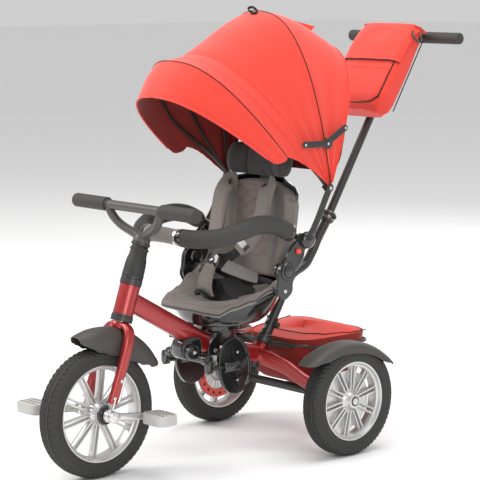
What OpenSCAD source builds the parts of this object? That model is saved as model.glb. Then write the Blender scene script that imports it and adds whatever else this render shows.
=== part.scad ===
// Children's tricycle with hood, guard bar, push handle, basket and bag.
// Forward is -Y, the rider's left is +X, up is +Z. Lengths are millimetres.
// Inside the modules Y = 0 is the front axle and Z = 0 the floor; placed() moves
// every piece so that the origin lies on the floor under the middle of the whole.

/* [Wheels] */
// Radius of the front tyre
front_wheel_r = 142; // [125:1:160]
// Radius of the rear tyres
rear_wheel_r = 126; // [110:1:140]
// Width of every tyre
tyre_w = 50; // [40:1:56]
// Distance between the axles
wheelbase = 545; // [520:1:600]
// Distance from the middle to the middle of a rear tyre
rear_track_half = 225; // [218:1:250]
// Depth of the tyre, from tread to rim
tyre_depth = 36; // [28:1:40]

/* [Steering] */
// Lean of the steering axis from vertical, degrees
rake = 19; // [12:1:24]
// Steering axis, distance behind the front axle at axle height
steer_offset = 3; // [0:0.5:8]
// Outer radius of the head tube
head_tube_r = 23; // [20:0.5:28]
// Radius of the steerer tube
steerer_r = 16; // [12:0.5:18]
// Distance from the middle to a fork leg's centreline
fork_half = 43; // [40:1:50]
// Radius of a fork leg
fork_leg_r = 11.5; // [9:0.5:12]
// Half length of the handlebar
handlebar_half = 207; // [170:1:230]
// Radius of the handlebar tube
handlebar_r = 10.5; // [9:0.5:12]
// Radius of the handlebar grips
grip_r = 15.5; // [14:0.5:18]
// Length of a handlebar grip
grip_len = 112; // [90:1:120]

/* [Cranks] */
// Length of a pedal crank
crank_len = 93; // [75:1:97]
// Angle of the left crank below the rearward direction, degrees
crank_angle = 6; // [0:1:30]
// Distance from the middle to a crank arm
crank_x = 62; // [60:1:70]
// Width of a pedal along its spindle
pedal_w = 72; // [60:1:84]
// Length of a pedal fore and aft
pedal_l = 54; // [48:1:70]

/* [Frame] */
// Height of the main tube's section
main_tube_h = 44; // [38:1:50]
// Width of the main tube's section
main_tube_w = 30; // [24:1:34]
// Drop of the main tube behind the head tube, degrees
tube_drop = 29.4; // [26:0.2:31]
// Drop of the main tube under the seat, degrees
tube_drop_rear = 15; // [12:0.5:18]
// Height of the rear beam's section
beam_h = 38; // [32:1:44]
// Depth of the rear beam's section
beam_d = 28; // [24:1:34]

/* [Push handle] */
// Radius of the push stem's socket
stem_socket_r = 13; // [12:0.5:15]
// Radius of the lower push tube
push_tube_r = 11; // [10:0.5:11.5]
// Radius of the telescoping push tube
push_inner_r = 9.5; // [8:0.5:9.5]
// How far the push handle telescopes down
push_travel = 45; // [20:1:48]
// Half length of the push handle's cross bar
push_bar_half = 181; // [150:1:200]
// Radius of the push handle's grips
push_grip_r = 14; // [12:0.5:16]

/* [Seat] */
// Distance from the front axle to the seat's swivel axis
seat_y = 352; // [345:1:360]
// Height of the seat shell's underside
seat_base_z = 299; // [297:1:303]
// Half width between the seat's side hinges
seat_half = 146; // [140:1:150]
// Recline travel of the backrest, degrees
recline_travel = 25; // [10:1:30]
// Travel of the headrest up the backrest
headrest_travel = 40; // [10:1:50]
// Radius of the foam on the guard bar
foam_r = 19; // [16:0.5:21]
// Lift of the guard bar, degrees
guard_lift = 30; // [15:1:34]

/* [Hood] */
// Half width of the hood at its pivots
hood_half = 180; // [176:1:184]
// Thickness of the hood's cloth
cloth_t = 2; // [1.5:0.1:3]
// Turn of the hood's middle bow when folded, degrees
hood_fold = 20; // [10:1:22]

/* [Bag and basket] */
// Width of the storage bag
bag_w = 184; // [150:1:210]
// Height of the storage bag
bag_h = 236; // [200:1:245]
// Depth of the storage bag
bag_d = 72; // [50:1:84]
// Height of the basket's rim above the floor
basket_rim_z = 250; // [246:1:256]
// Height of the basket's underside above the floor
basket_floor_z = 142; // [138:1:170]

/* [Hidden] */
$fn = 48;

// Running clearance of a pin or shaft in its bore
fit = 0.05;
// Gap between neighbours that don't fit into each other
gap = 0.4;

// Steering axis, in the steering frame's own height s above axle height
cap_lower_s = 203;
head_bottom_s = 219;
head_top_s = 285;
cap_upper_s = 302;
sleeve_top_s = 352;
stem_top_s = 398;
bar_s = 449;
bar_ahead = 41.5;

// Main tube: start on the head tube, first straight, bend
tube_start = [90, 378.8];
tube_run = 236;
tube_bend_r = 150;
tube_run_rear = 132;
bend_start = [tube_start[0] + tube_run * cos(tube_drop), tube_start[1] - tube_run * sin(tube_drop)];
bend_centre = [bend_start[0] + tube_bend_r * sin(tube_drop), bend_start[1] + tube_bend_r * cos(tube_drop)];
bend_end = [
    bend_centre[0] - tube_bend_r * sin(tube_drop_rear),
    bend_centre[1] - tube_bend_r * cos(tube_drop_rear)
];

// Rear beam centreline, one half; the other is its mirror image
beam_inner_x = rear_track_half - tyre_w / 2 - 12;
beam_half = [
    [0, 468, 206], [40, 482, 198], [80, 500, 183], [112, 513, 161],
    [150, 530, 141], [beam_inner_x, wheelbase, rear_wheel_r]
];

// Push stem: foot, direction and where the S-bend starts
stem_foot = [0, 487, 232];
stem_lean = 31.5;
stem_dir = [0, sin(stem_lean), cos(stem_lean)];
socket_below = 62;
socket_above = 66;
push_bend = [
    [0, 575, 376], [0, 583, 384], [0, 596, 391], [0, 612, 397], [0, 628, 406],
    [0, 641, 422], [0, 654, 441], [0, 667, 463]
];
push_lean = atan2(959 - 702, 932 - 514);
push_dir = [0, sin(push_lean), cos(push_lean)];
push_collar = [0, 702, 514];
push_top_dist = 490;
push_top = push_collar + push_dir * push_top_dist;

// Shift that puts the origin under the middle of the whole
shift_y = -(push_top[1] + push_grip_r - front_wheel_r) / 2;

// Seat, hinge and hood points as [y, z]
hinge = [410, 428];
guard_pivot = [467, 494];
hood_pivot = [532, 607];
back_lean = 8;
arm_t = 11;
arm_x = seat_half + gap + 10;

// Hood bows: angle behind vertical, half width, height, squareness
bow_rear = [20, hood_half - 2, 337, 2.9];
bow_middle = [-6, hood_half, 388, 2];
bow_front = [-40, hood_half - 8, 384, 2];
bow_visor = [-52, hood_half - 14, 432, 2];

function lerp(a, b, t) = a + (b - a) * t;
function unit(v) = v / norm(v);
function mirror_x(pts) = [for (i = [len(pts) - 1 : -1 : 1]) [-pts[i][0], pts[i][1], pts[i][2]]];

// Catmull-Rom point between p1 and p2
function spline_point(p0, p1, p2, p3, t) = 0.5 * (
    2 * p1 + (p2 - p0) * t
    + (2 * p0 - 5 * p1 + 4 * p2 - p3) * t * t
    + (3 * p1 - p0 - 3 * p2 + p3) * t * t * t
);
function spline(pts, steps) = [
    for (i = [0 : len(pts) - 2], k = [0 : steps - 1])
        spline_point(
            pts[max(i - 1, 0)], pts[i], pts[i + 1], pts[min(i + 2, len(pts) - 1)], k / steps
        ),
    pts[len(pts) - 1]
];
function tangent(p, i) = unit(p[min(i + 1, len(p) - 1)] - p[max(i - 1, 0)]);
// Superellipse half arch from one foot to the other, as [across, up]
function arch(a, b, n, steps) = [
    for (i = [0 : steps])
        let (w = 180 * i / steps, c = cos(w), s = sin(w))
            [a * sign(c) * pow(abs(c), 2 / n), b * pow(max(s, 0), 2 / n)]
];

// Every piece stands in the shared frame through this
module placed() {
    translate([0, shift_y, 0]) children();
}

// The steering frame: local Z runs up the steering axis
module steered() {
    placed() in_steering_frame() children();
}

// Cylinder from a to b
module rod(a, b, r) {
    v = b - a;
    translate(a)
        rotate([0, acos(v[2] / norm(v)), atan2(v[1], v[0])])
            cylinder(h = norm(v), r = r);
}

// Local Z along X, for wheels, pins and plates in side view: 2D x is Y, 2D y is Z
module side_view(x0, thickness) {
    translate([x0, 0, 0]) rotate([90, 0, 90]) linear_extrude(thickness) children();
}

module pin_x(x0, x1, yz, r) {
    translate([x0, yz[0], yz[1]]) rotate([0, 90, 0]) cylinder(h = x1 - x0, r = r);
}

// Flat bar with round ends between two points of a plane
module bar_2d(a, b, r) {
    w = atan2(b[1] - a[1], b[0] - a[0]);
    polygon([
        for (end = [[b, w - 90], [a, w + 90]], k = [0 : 18])
            end[0] + r * [cos(end[1] + k * 10), sin(end[1] + k * 10)]
    ]);
}

function blunt(v, squareness) = sign(v) * pow(abs(v), 2 / squareness);

// Tube with an oval section swept along points; wide lies across ref, tall along it
module sweep(pts, wide, tall, ref, sides = 16, squareness = 2) {
    rings = len(pts);
    verts = [
        for (i = [0 : rings - 1])
            let (t = tangent(pts, i), n = unit(cross(t, ref)), b = cross(n, t))
                for (k = [0 : sides - 1])
                    let (w = 360 * (k + 0.5) / sides)
                        pts[i] + n * wide * blunt(cos(w), squareness)
                        + b * tall * blunt(sin(w), squareness)
    ];
    walls = [
        for (i = [0 : rings - 2], k = [0 : sides - 1])
            let (a = i * sides + k, c = i * sides + (k + 1) % sides)
                [a, c, c + sides, a + sides]
    ];
    start = [[for (k = [sides - 1 : -1 : 0]) k]];
    finish = [[for (k = [0 : sides - 1]) (rings - 1) * sides + k]];
    polyhedron(points = verts, faces = concat(start, walls, finish));
}

// ---------------------------------------------------------------- frame

// Oval tube along its two straights and the bend between them
module tube_body(grow) {
    bend = [
        for (i = [0 : 6])
            let (w = lerp(tube_drop, tube_drop_rear, i / 6))
                [0, bend_centre[0] - tube_bend_r * sin(w), bend_centre[1] - tube_bend_r * cos(w)]
    ];
    last = [
        0, bend_end[0] + tube_run_rear * cos(tube_drop_rear),
        bend_end[1] - tube_run_rear * sin(tube_drop_rear)
    ];
    sweep(
        concat([[0, tube_start[0], tube_start[1]]], bend, [last]),
        main_tube_h / 2 + grow, main_tube_w / 2 + grow, [1, 0, 0], 32, 2.5
    );
}

module in_steering_frame() {
    translate([0, steer_offset, front_wheel_r]) rotate([-rake, 0, 0]) children();
}

module main_tube() {
    color([0.72, 0.1, 0.09])
    placed() difference() {
        union() {
            tube_body(0);
            in_steering_frame() translate([0, 0, head_bottom_s])
                cylinder(h = head_top_s - head_bottom_s, r = head_tube_r);
        }
        in_steering_frame() cylinder(h = head_top_s + 20, r = head_tube_r - 4);
    }
}

module rear_beam() {
    color([0.72, 0.1, 0.09])
    placed() difference() {
        union() {
            sweep(
                spline(concat(mirror_x(beam_half), beam_half), 3),
                beam_d / 2, beam_h / 2, [0, 0, 1], 24
            );
            rod(stem_foot - stem_dir * 46, stem_foot - stem_dir * 1, stem_socket_r + 4);
            for (s = [-1, 1])
                pin_x(s * beam_inner_x - 9, s * beam_inner_x + 9, [wheelbase, rear_wheel_r], 17);
        }
        rod(stem_foot - stem_dir * 70, stem_foot + stem_dir * 30, stem_socket_r + fit);
        pin_x(-rear_track_half, rear_track_half, [wheelbase, rear_wheel_r], 6 + fit);
    }
}

module head_cap(s0, s1) {
    translate([0, 0, s0]) difference() {
        cylinder(h = s1 - s0, r = head_tube_r + 1.5);
        translate([0, 0, -1]) cylinder(h = s1 - s0 + 2, r = steerer_r + fit);
    }
}

module head_caps() {
    color([0.08, 0.08, 0.08]) steered() {
        head_cap(head_top_s, cap_upper_s);
        head_cap(cap_lower_s, head_bottom_s);
    }
}

module seat_post() {
    color([0.1, 0.1, 0.1])
    placed() difference() {
        union() {
            translate([0, seat_y, 236]) cylinder(h = seat_base_z - 8 - 236, r1 = 27, r2 = 33);
            translate([-main_tube_w / 2 - 6, seat_y - 52, 236])
                cube([main_tube_w + 12, 104, 38]);
            translate([0, seat_y, seat_base_z - 12]) cylinder(h = 12 - gap, r = 52);
            for (s = [-1, 1]) {
                side_view(s * 17 - 3, 6) bar_2d([392, lever_pin[1]], lever_pin, 9);
            }
        }
        tube_body(0.05);
        pin_x(-25, 25, lever_pin, 5 + fit);
        translate([0, seat_y, 200]) cylinder(h = 120, r = 9 + fit);
    }
}

module push_stem() {
    color([0.09, 0.09, 0.09])
    placed() difference() {
        rod(stem_foot - stem_dir * socket_below, stem_foot + stem_dir * socket_above, stem_socket_r);
        rod(stem_foot + stem_dir * 20, stem_foot + stem_dir * (socket_above + 5), push_tube_r + fit);
    }
}

module footrest_bar() {
    color([0.12, 0.12, 0.12])
    placed() difference() {
        union() {
            translate([-main_tube_w / 2 - 5, 226, 224]) cube([main_tube_w + 10, 62, 50]);
            pin_x(-70, 70, [262, 232], 9);
            pin_x(-main_tube_w / 2 - 14, main_tube_w / 2 + 14, [250, 246], 17);
            for (s = [-1, 1]) {
                translate([s * foot_x - 9, 252, 203]) cube([18, 14, 34]);
                rod([s * foot_x, 258, foot_z], [s * foot_x, 300, foot_z], 6);
            }
        }
        tube_body(0.05);
    }
}

// Folding foot plates: hinge line along Y through each plate's hub
foot_x = 75;
foot_z = 212;
foot_y = 332;

module foot_plate(side) {
    color([0.06, 0.06, 0.06])
    placed() difference() {
        union() {
            side_view(side * foot_x - 5, 10) difference() {
                translate([foot_y, foot_z]) rotate(12) foot_outline(0);
                translate([foot_y, foot_z]) rotate(12) foot_outline(90);
            }
            side_view(side * foot_x - (side > 0 ? 5 : 1), 6)
                translate([foot_y, foot_z]) rotate(12) foot_outline(6);
            translate([side * foot_x, foot_y - 34, foot_z]) rotate([-90, 0, 0])
                cylinder(h = 44, r = 14);
        }
        rod([side * foot_x, 255, foot_z], [side * foot_x, 301, foot_z], 6 + fit);
    }
}

// Oval of the foot plate; inset makes the smaller one
module foot_outline(inset) {
    if (inset < 50) {
        for (s = [-1, 1]) translate([0, s * 18]) circle(47 - inset);
        square([2 * (47 - inset), 36], center = true);
    }
}

module footrest_left() { foot_plate(1); }
module footrest_right() { foot_plate(-1); }

module rear_axle() {
    color([0.75, 0.75, 0.77])
    placed() pin_x(-rear_track_half - 19, rear_track_half + 19, [wheelbase, rear_wheel_r], 6);
}

// Rear mudguard: a shallow trough bent on its own radius
fender_centre = [524, 56];
fender_r = 207;
module rear_fender(side) {
    color([0.27, 0.25, 0.24])
    placed() difference() {
        translate([side * rear_track_half, fender_centre[0], fender_centre[1]])
            rotate([0, -90, 0])
                rotate_extrude(angle = 83, start = -36, $fn = 120)
                    translate([fender_r - 12, 0]) difference() {
                        fender_section(0);
                        fender_section(2.6);
                    }
    }
}

module fender_section(inset) {
    w = tyre_w / 2 + 6 - inset;
    polygon([
        [-12 - inset * 3, -w], [-2, -w + 1], [7 - inset, -w + 8], [12 - inset, 0],
        [7 - inset, w - 8], [-2, w - 1], [-12 - inset * 3, w]
    ]);
}

module rear_fender_left() { rear_fender(1); }
module rear_fender_right() { rear_fender(-1); }

// Plan of the basket's rim, clockwise from the left front
basket_front = 521;
basket_back = 716;
basket_front_half = 102;
basket_back_half = 138;

module basket_plan(inset, z, rise) {
    for (p = [[basket_front_half - 30, basket_front + 30, 0], [basket_back_half - 40, basket_back - 40, 1]],
         s = [-1, 1])
        translate([s * (p[0] - inset), p[1], z + rise * p[2]])
            cylinder(h = 1, r = (p[2] > 0 ? 40 : 30) - (inset > 0 ? min(inset, 20) : inset), $fn = 32);
}

module basket() {
    color([0.9, 0.24, 0.2])
    placed() difference() {
        hull() {
            basket_plan(0, basket_rim_z - 10, 8);
            basket_plan(14, basket_floor_z, 0);
        }
        hull() {
            basket_plan(3, basket_rim_z, 8);
            basket_plan(17, basket_floor_z + 3, 0);
        }
    }
}

module basket_lid() {
    color([0.94, 0.27, 0.22])
    placed() hull() {
        basket_plan(-1, basket_rim_z - 9 + gap, 8);
        basket_plan(40, basket_rim_z + 8, 12);
    }
}

// Wire rim of the basket on the clamp that grips the push stem
rim_rod_r = 4;
rim_z = basket_rim_z - 16;
rim_half = [
    [0, basket_back + 8, rim_z + 8], [basket_back_half - 34, basket_back + 7, rim_z + 8],
    [basket_back_half + 6, basket_back - 34, rim_z + 7],
    [basket_front_half + 7, basket_front + 30, rim_z],
    [basket_front_half - 22, basket_front - 8, rim_z], [24, stem_foot[1] + 27, stem_foot[2] + 3]
];

module basket_frame() {
    color([0.08, 0.08, 0.08])
    placed() {
        sweep(
            spline(concat([for (i = [len(rim_half) - 1 : -1 : 1])
                [-rim_half[i][0], rim_half[i][1], rim_half[i][2]]], rim_half), 4),
            rim_rod_r, rim_rod_r, [0, 0, 1], 12
        );
        difference() {
            union() {
                rod(stem_foot - stem_dir * 0.5, stem_foot + stem_dir * 13, 20);
                translate([0, stem_foot[1] + 25, stem_foot[2] + 2]) cube([66, 28, 14], center = true);
            }
            rod(stem_foot - stem_dir * 8, stem_foot + stem_dir * 40, stem_socket_r + fit);
        }
    }
}

module frame_bolts() {
    color([0.8, 0.8, 0.82])
    placed() {
        knob = stem_foot + stem_dir * 50;
        rod(knob + [stem_socket_r + gap, 0, 0], knob + [stem_socket_r + 16, 0, 0], 7);
        for (s = [-1, 1])
            pin_x(s * 36 - 3, s * 36 + 3, [250, 246], 5);
        for (s = [-1, 1])
            pin_x(s * (beam_inner_x - 16) - 3, s * (beam_inner_x - 16) + 3, [wheelbase - 12, rear_wheel_r - 24], 6);
    }
}

// ---------------------------------------------------------------- steering

fork_leg = [
    [18, 0, 196], [30, 0, 190], [39, 0, 178], [fork_half, 0, 158],
    [fork_half, 0, 110], [fork_half, -1, 60], [fork_half, -2, 24]
];

module fork() {
    color([0.72, 0.1, 0.09])
    steered() difference() {
        union() {
            for (s = [-1, 1]) {
                difference() {
                    sweep(
                        spline([for (p = fork_leg) [s * p[0], p[1], p[2]]], 3),
                        fork_leg_r, fork_leg_r + 1, [s, 0, 0.9], 20
                    );
                    translate([-60, -60, cap_lower_s - gap]) cube([120, 120, 60]);
                }
                translate([s * fork_half - 3.5, -15, -14]) cube([7, 26, 42]);
            }
            translate([0, 0, 188]) cylinder(h = cap_lower_s - 188 - gap, r = 21);
            cylinder(h = stem_top_s - 12, r = steerer_r);
        }
        translate([0, 0, -30]) cylinder(h = 210, r = steerer_r + 12);
        rotate([rake, 0, 0]) translate([-100, -steer_offset, 0])
            rotate([0, 90, 0]) cylinder(h = 200, r = 7 + fit);
    }
}

module front_fender() {
    color([0.27, 0.25, 0.24])
    placed() translate([0, 0, front_wheel_r])
        rotate([0, 90, 0]) rotate_extrude(angle = 92, start = 108, $fn = 120)
            translate([158, 0]) intersection() {
                difference() {
                    circle(29);
                    circle(26.5);
                }
                translate([0, -40]) square([80, 80]);
            }
}

module steering_sleeve() {
    color([0.1, 0.1, 0.1])
    steered() difference() {
        union() {
            translate([0, 0, cap_upper_s + gap]) cylinder(h = 12, r = head_tube_r + 1);
            translate([0, 0, cap_upper_s + 12]) cylinder(h = sleeve_top_s - cap_upper_s - 26, r1 = head_tube_r + 1, r2 = 22);
            translate([0, 0, sleeve_top_s - 16]) cylinder(h = 12, r1 = 22, r2 = 19.5);
            translate([0, 0, sleeve_top_s - 5]) cylinder(h = 20, r = 19.5);
            translate([0, 0, sleeve_top_s + 14]) cylinder(h = 8, r = 21.5);
        }
        cylinder(h = 500, r = steerer_r + fit);
    }
}

handlebar_drop = [
    [-86, -bar_ahead + 2, bar_s - 3], [-78, -34, bar_s - 20], [-56, -18, bar_s - 38], [-26, -6, bar_s - 47],
    [0, -3, bar_s - 50]
];

module handlebar() {
    color([0.22, 0.21, 0.2])
    steered() {
        difference() {
            union() {
                translate([-handlebar_half + 6, -bar_ahead, bar_s]) rotate([0, 90, 0])
                    cylinder(h = 2 * handlebar_half - 12, r = handlebar_r);
                sweep(
                    spline(concat(handlebar_drop, mirror_x([for (i = [len(handlebar_drop) - 1 : -1 : 0]) handlebar_drop[i]])), 3),
                    handlebar_r, handlebar_r + 2, [0, 1, 0.2], 20
                );
                translate([0, 0, stem_top_s - 24]) cylinder(h = 20, r = steerer_r + 3.5);
                translate([0, 0, stem_top_s - 5]) cylinder(h = 12, r1 = steerer_r + 3.5, r2 = 12);
            }
            translate([0, 0, 330]) cylinder(h = stem_top_s - 12 - 330, r = steerer_r + fit);
        }
    }
}

module grip(side) {
    color([0.2, 0.2, 0.2])
    steered() translate([side * handlebar_half, -bar_ahead, bar_s]) rotate([0, -side * 90, 0])
        difference() {
            cylinder(h = grip_len, r = grip_r);
            translate([0, 0, 6]) cylinder(h = grip_len, r = handlebar_r + fit);
        }
}

module grip_left() { grip(1); }
module grip_right() { grip(-1); }

// ---------------------------------------------------------------- wheels

// Tyre with squared shoulders, axis along X, centred on the axle
module tyre(r) {
    w = tyre_w / 2;
    d = tyre_depth;
    rotate([0, 90, 0]) rotate_extrude($fn = 128) polygon([
        [r - d, -w + 7], [r - d + 4, -w + 2], [r - d + 14, -w], [r - 12, -w + 1],
        [r - 3, -w + 7], [r, -w + 16], [r, w - 16], [r - 3, w - 7], [r - 12, w - 1],
        [r - d + 14, w], [r - d + 4, w - 2], [r - d, w - 7]
    ]);
}

spokes = 10;
// Rim, paired spokes and hub as one casting, bored for its axle
// A cap of 1 or -1 closes the bore at the outer end
module rim(r, hub_r, hub_w, bore_r, cap = 0) {
    w = tyre_w / 2;
    ro = r - tyre_depth - 0.05;
    rotate([0, 90, 0]) difference() {
        union() {
            rotate_extrude($fn = 128) polygon([
                [ro - 7, -w + 6], [ro, -w + 6], [ro, w - 6], [ro - 7, w - 6],
                [ro - 9, w - 8], [ro - 9, -w + 8]
            ]);
            translate([0, 0, -hub_w / 2]) cylinder(h = hub_w, r = hub_r);
            if (cap != 0) {
                rotate([cap > 0 ? 0 : 180, 0, 0])
                    translate([0, 0, 20]) cylinder(h = 6, r1 = 15, r2 = 13);
            }
            for (i = [0 : spokes - 1], s = [-1, 1])
                rotate(i * 360 / spokes + s * 5)
                    translate([hub_r - 4, s * 2 - 2.5, -6]) cube([ro - hub_r - 1, 5, 12]);
        }
        if (cap == 0) {
            translate([0, 0, -hub_w]) cylinder(h = 2 * hub_w, r = bore_r);
        } else {
            rotate([cap > 0 ? 0 : 180, 0, 0])
                translate([0, 0, -hub_w]) cylinder(h = hub_w + 20.6, r = bore_r);
        }
    }
}

module front_tyre() {
    color([0.06, 0.06, 0.06]) placed() translate([0, 0, front_wheel_r]) tyre(front_wheel_r);
}

module front_rim() {
    color([0.82, 0.82, 0.83])
    placed() translate([0, 0, front_wheel_r]) rim(front_wheel_r, 24, 56, 7 + fit);
}

module clutch_knob() {
    color([0.05, 0.05, 0.05])
    placed() translate([28 + gap, 0, front_wheel_r]) rotate([0, 90, 0]) difference() {
        cylinder(h = 6.5, r = 19);
        translate([0, 0, -1]) cylinder(h = 12, r = 7 + fit);
    }
}

// Crank ends, left rearward and right forward
function crank_end(side) = [
    side * crank_x, side * crank_len * cos(crank_angle),
    front_wheel_r - side * crank_len * sin(crank_angle)
];

module crank() {
    color([0.78, 0.78, 0.8])
    placed() {
        pin_x(-crank_x, crank_x, [0, front_wheel_r], 7);
        for (s = [-1, 1]) {
            e = crank_end(s);
            side_view(s * crank_x - 4, 8)
                bar_2d([0, front_wheel_r], [e[1], e[2]], 8);
            pin_x(
                s > 0 ? crank_x : -crank_x - pedal_w - 6, s > 0 ? crank_x + pedal_w + 6 : -crank_x,
                [e[1], e[2]], 4.5
            );
        }
    }
}

module pedal(side) {
    e = crank_end(side);
    color([0.7, 0.7, 0.7])
    placed() translate([side * (crank_x + 5 + pedal_w / 2), e[1], e[2]]) difference() {
        cube([pedal_w, pedal_l, 24], center = true);
        for (ix = [-2 : 2], iy = [-1, 1])
            translate([ix * pedal_w / 6, iy * pedal_l / 4, -20]) cylinder(h = 40, r = 3.4);
        rotate([0, 90, 0]) translate([0, 0, -pedal_w]) cylinder(h = 2 * pedal_w, r = 4.5 + fit);
    }
}

module pedal_left() { pedal(1); }
module pedal_right() { pedal(-1); }

module rear_wheel(side) {
    placed() translate([side * rear_track_half, wheelbase, rear_wheel_r]) children();
}

module rear_tyre_left() { color([0.06, 0.06, 0.06]) rear_wheel(1) tyre(rear_wheel_r); }
module rear_tyre_right() { color([0.06, 0.06, 0.06]) rear_wheel(-1) tyre(rear_wheel_r); }

module rear_rim(side) {
    color([0.82, 0.82, 0.83]) rear_wheel(side) rim(rear_wheel_r, 24, 46, 6 + fit, side);
}

module rear_rim_left() { rear_rim(1); }
module rear_rim_right() { rear_rim(-1); }

// Perforated ring that the brake pin locks into
module brake_ring(side) {
    color([0.85, 0.16, 0.12])
    rear_wheel(side) translate([-side * 6, 0, 0]) rotate([0, -side * 90, 0]) difference() {
        cylinder(h = 3.5, r = 66, $fn = 96);
        translate([0, 0, -1]) cylinder(h = 8, r = 46, $fn = 96);
        for (i = [0 : 17]) rotate(i * 20) translate([56, 0, -1]) cylinder(h = 8, r = 3.5);
    }
}

module brake_ring_left() { brake_ring(1); }
module brake_ring_right() { brake_ring(-1); }

brake_pivot = [wheelbase + 42, rear_wheel_r - 12];
module brake_pedal() {
    color([0.1, 0.1, 0.1])
    placed() difference() {
        union() {
            pin_x(-beam_inner_x + 64, beam_inner_x - 64, [wheelbase, rear_wheel_r], 10);
            side_view(-8, 16) bar_2d([wheelbase, rear_wheel_r], brake_pivot, 9);
            translate([-46, brake_pivot[0], brake_pivot[1] - 4]) cube([92, 34, 8]);
        }
        pin_x(-beam_inner_x, beam_inner_x, [wheelbase, rear_wheel_r], 6 + fit);
    }
}

// ---------------------------------------------------------------- seat

module tub(inset, top) {
    for (s = [-1, 1]) {
        translate([s * (96 - inset), 266 + inset, 336]) cylinder(h = 10 + top, r = 12, $fn = 32);
        translate([s * (seat_half - 20 - inset), 400, 372]) cylinder(h = 18 + top, r = 12, $fn = 32);
        translate([s * (112 - inset), 466 - inset, 366]) cylinder(h = 16 + top, r = 14, $fn = 32);
    }
    translate([0, seat_y + 10, seat_base_z + inset]) cylinder(h = 8, r = 78, $fn = 48);
}

module seat_shell() {
    color([0.05, 0.05, 0.05])
    placed() {
        difference() {
            hull() tub(0, 0);
            hull() tub(4, 14);
        }
        translate([0, seat_y, seat_base_z - 25]) cylinder(h = 27, r = 9);
    }
}

module seat_cushion() {
    color([0.57, 0.54, 0.52])
    placed() hull() {
        for (s = [-1, 1]) {
            translate([s * 92, 262, 348]) cylinder(h = 12, r = 12, $fn = 32);
            translate([s * 112, 396, 384]) cylinder(h = 20, r = 12, $fn = 32);
            translate([s * 96, 430, 378]) cylinder(h = 14, r = 12, $fn = 32);
        }
        translate([0, seat_y + 10, seat_base_z + 12 + gap]) cylinder(h = 8, r = 68, $fn = 32);
    }
}

module seat_arm(side) {
    color([0.07, 0.07, 0.07])
    placed() {
        difference() {
            side_view(side > 0 ? arm_x : -arm_x - arm_t, arm_t) {
                bar_2d([402, 386], hinge, 19);
                bar_2d(hinge, [436, 470], 14);
                bar_2d([436, 470], guard_pivot, 13);
            }
            pin_x(side * arm_x - 20, side * arm_x + 20, hinge, 8 + fit);
            pin_x(
                side > 0 ? arm_x + 4.5 : -arm_x - arm_t - 10, side > 0 ? arm_x + arm_t + 10 : -arm_x - 4.5,
                button_at, 6 + fit
            );
        }
        pin_x(
            side > 0 ? arm_x - 10 : -arm_x - arm_t - 4, side > 0 ? arm_x + arm_t + 4 : -arm_x + 10,
            guard_pivot, 5
        );
        translate([side * (arm_x + arm_t + 6), guard_pivot[0], guard_pivot[1]])
            rotate([0, 90, 0]) translate([0, 0, -7]) cylinder(h = 14, r = 19);
        translate([side > 0 ? seat_half - 12 : -seat_half - 12 + 2 * gap, 388, 372])
            cube([24 - 2 * gap, 22, 20]);
    }
}

module seat_arm_left() { seat_arm(1); }
module seat_arm_right() { seat_arm(-1); }

// Lever that frees the seat to swivel, pinned behind the seat post
lever_pin = [414, 268];
module swivel_lever() {
    color([0.12, 0.12, 0.12])
    placed() {
        pin_x(-23, 23, lever_pin, 5);
        side_view(-13, 26) {
            bar_2d(lever_pin, lever_pin + [34, 2], 4.5);
        }
    }
}

module harness_buckle() {
    color([0.1, 0.1, 0.1])
    placed() {
        translate([0, 336, 440]) rotate([62, 0, 0]) cylinder(h = 13, r = 21, center = true);
        sweep(spline([[0, 322, 381], [0, 318, 396], [0, 322, 414], [0, 330, 428]], 3), 14, 5, [0, -1, 0.3], 12);
    }
}

back_dir = [0, sin(back_lean), cos(back_lean)];
module reclined() {
    placed() translate([0, hinge[0], hinge[1]]) rotate([-back_lean, 0, 0]) children();
}

module back_shell() {
    color([0.05, 0.05, 0.05])
    reclined() {
        difference() {
            union() {
                hull() {
                    for (s = [-1, 1]) {
                        translate([s * 112, 62, 0]) cylinder(h = 12, r = 14, $fn = 32);
                        translate([s * 116, 66, 150]) cylinder(h = 12, r = 14, $fn = 32);
                        translate([s * 84, 66, 196]) cylinder(h = 14, r = 14, $fn = 32);
                    }
                }
                for (s = [-1, 1])
                    translate([0, 0, 0]) side_view(s > 0 ? seat_half - 8 : -seat_half, 8) {
                        bar_2d([0, 0], [46, 12], 16);
                        bar_2d([46, 12], [60, 60], 14);
                    }
                for (s = [-1, 1])
                    translate([s * (seat_half - 22) - 14, 50, 4]) cube([28, 22, 60]);
                for (s = [-1, 1])
                    pin_x(
                        s > 0 ? seat_half - 4 : -arm_x - arm_t - 3,
                        s > 0 ? arm_x + arm_t + 3 : -seat_half + 4, [0, 0], 8
                    );
            }
            hull() {
                for (s = [-1, 1]) {
                    translate([s * 108, 58, -4]) cylinder(h = 12, r = 14, $fn = 32);
                    translate([s * 112, 61, 150]) cylinder(h = 12, r = 14, $fn = 32);
                    translate([s * 80, 61, 194]) cylinder(h = 14, r = 14, $fn = 32);
                }
            }
            translate([-21, 57, 195]) cube([42, 8, 20]);
        }
        difference() {
            translate([-30, 52, 130]) cube([60, 25, 56]);
            translate([-20.4, 57.6, 120]) cube([40.8, 6.8, 80]);
        }
    }
}

module back_pad() {
    color([0.57, 0.54, 0.52])
    reclined() hull() {
        for (s = [-1, 1]) {
            translate([s * 96, 36 - gap, -18]) cylinder(h = 12, r = 11, $fn = 32);
            translate([s * 104, 36 - gap, 140]) cylinder(h = 12, r = 11, $fn = 32);
            translate([s * 70, 36 - gap, 186]) cylinder(h = 14, r = 11, $fn = 32);
        }
    }
}

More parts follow.
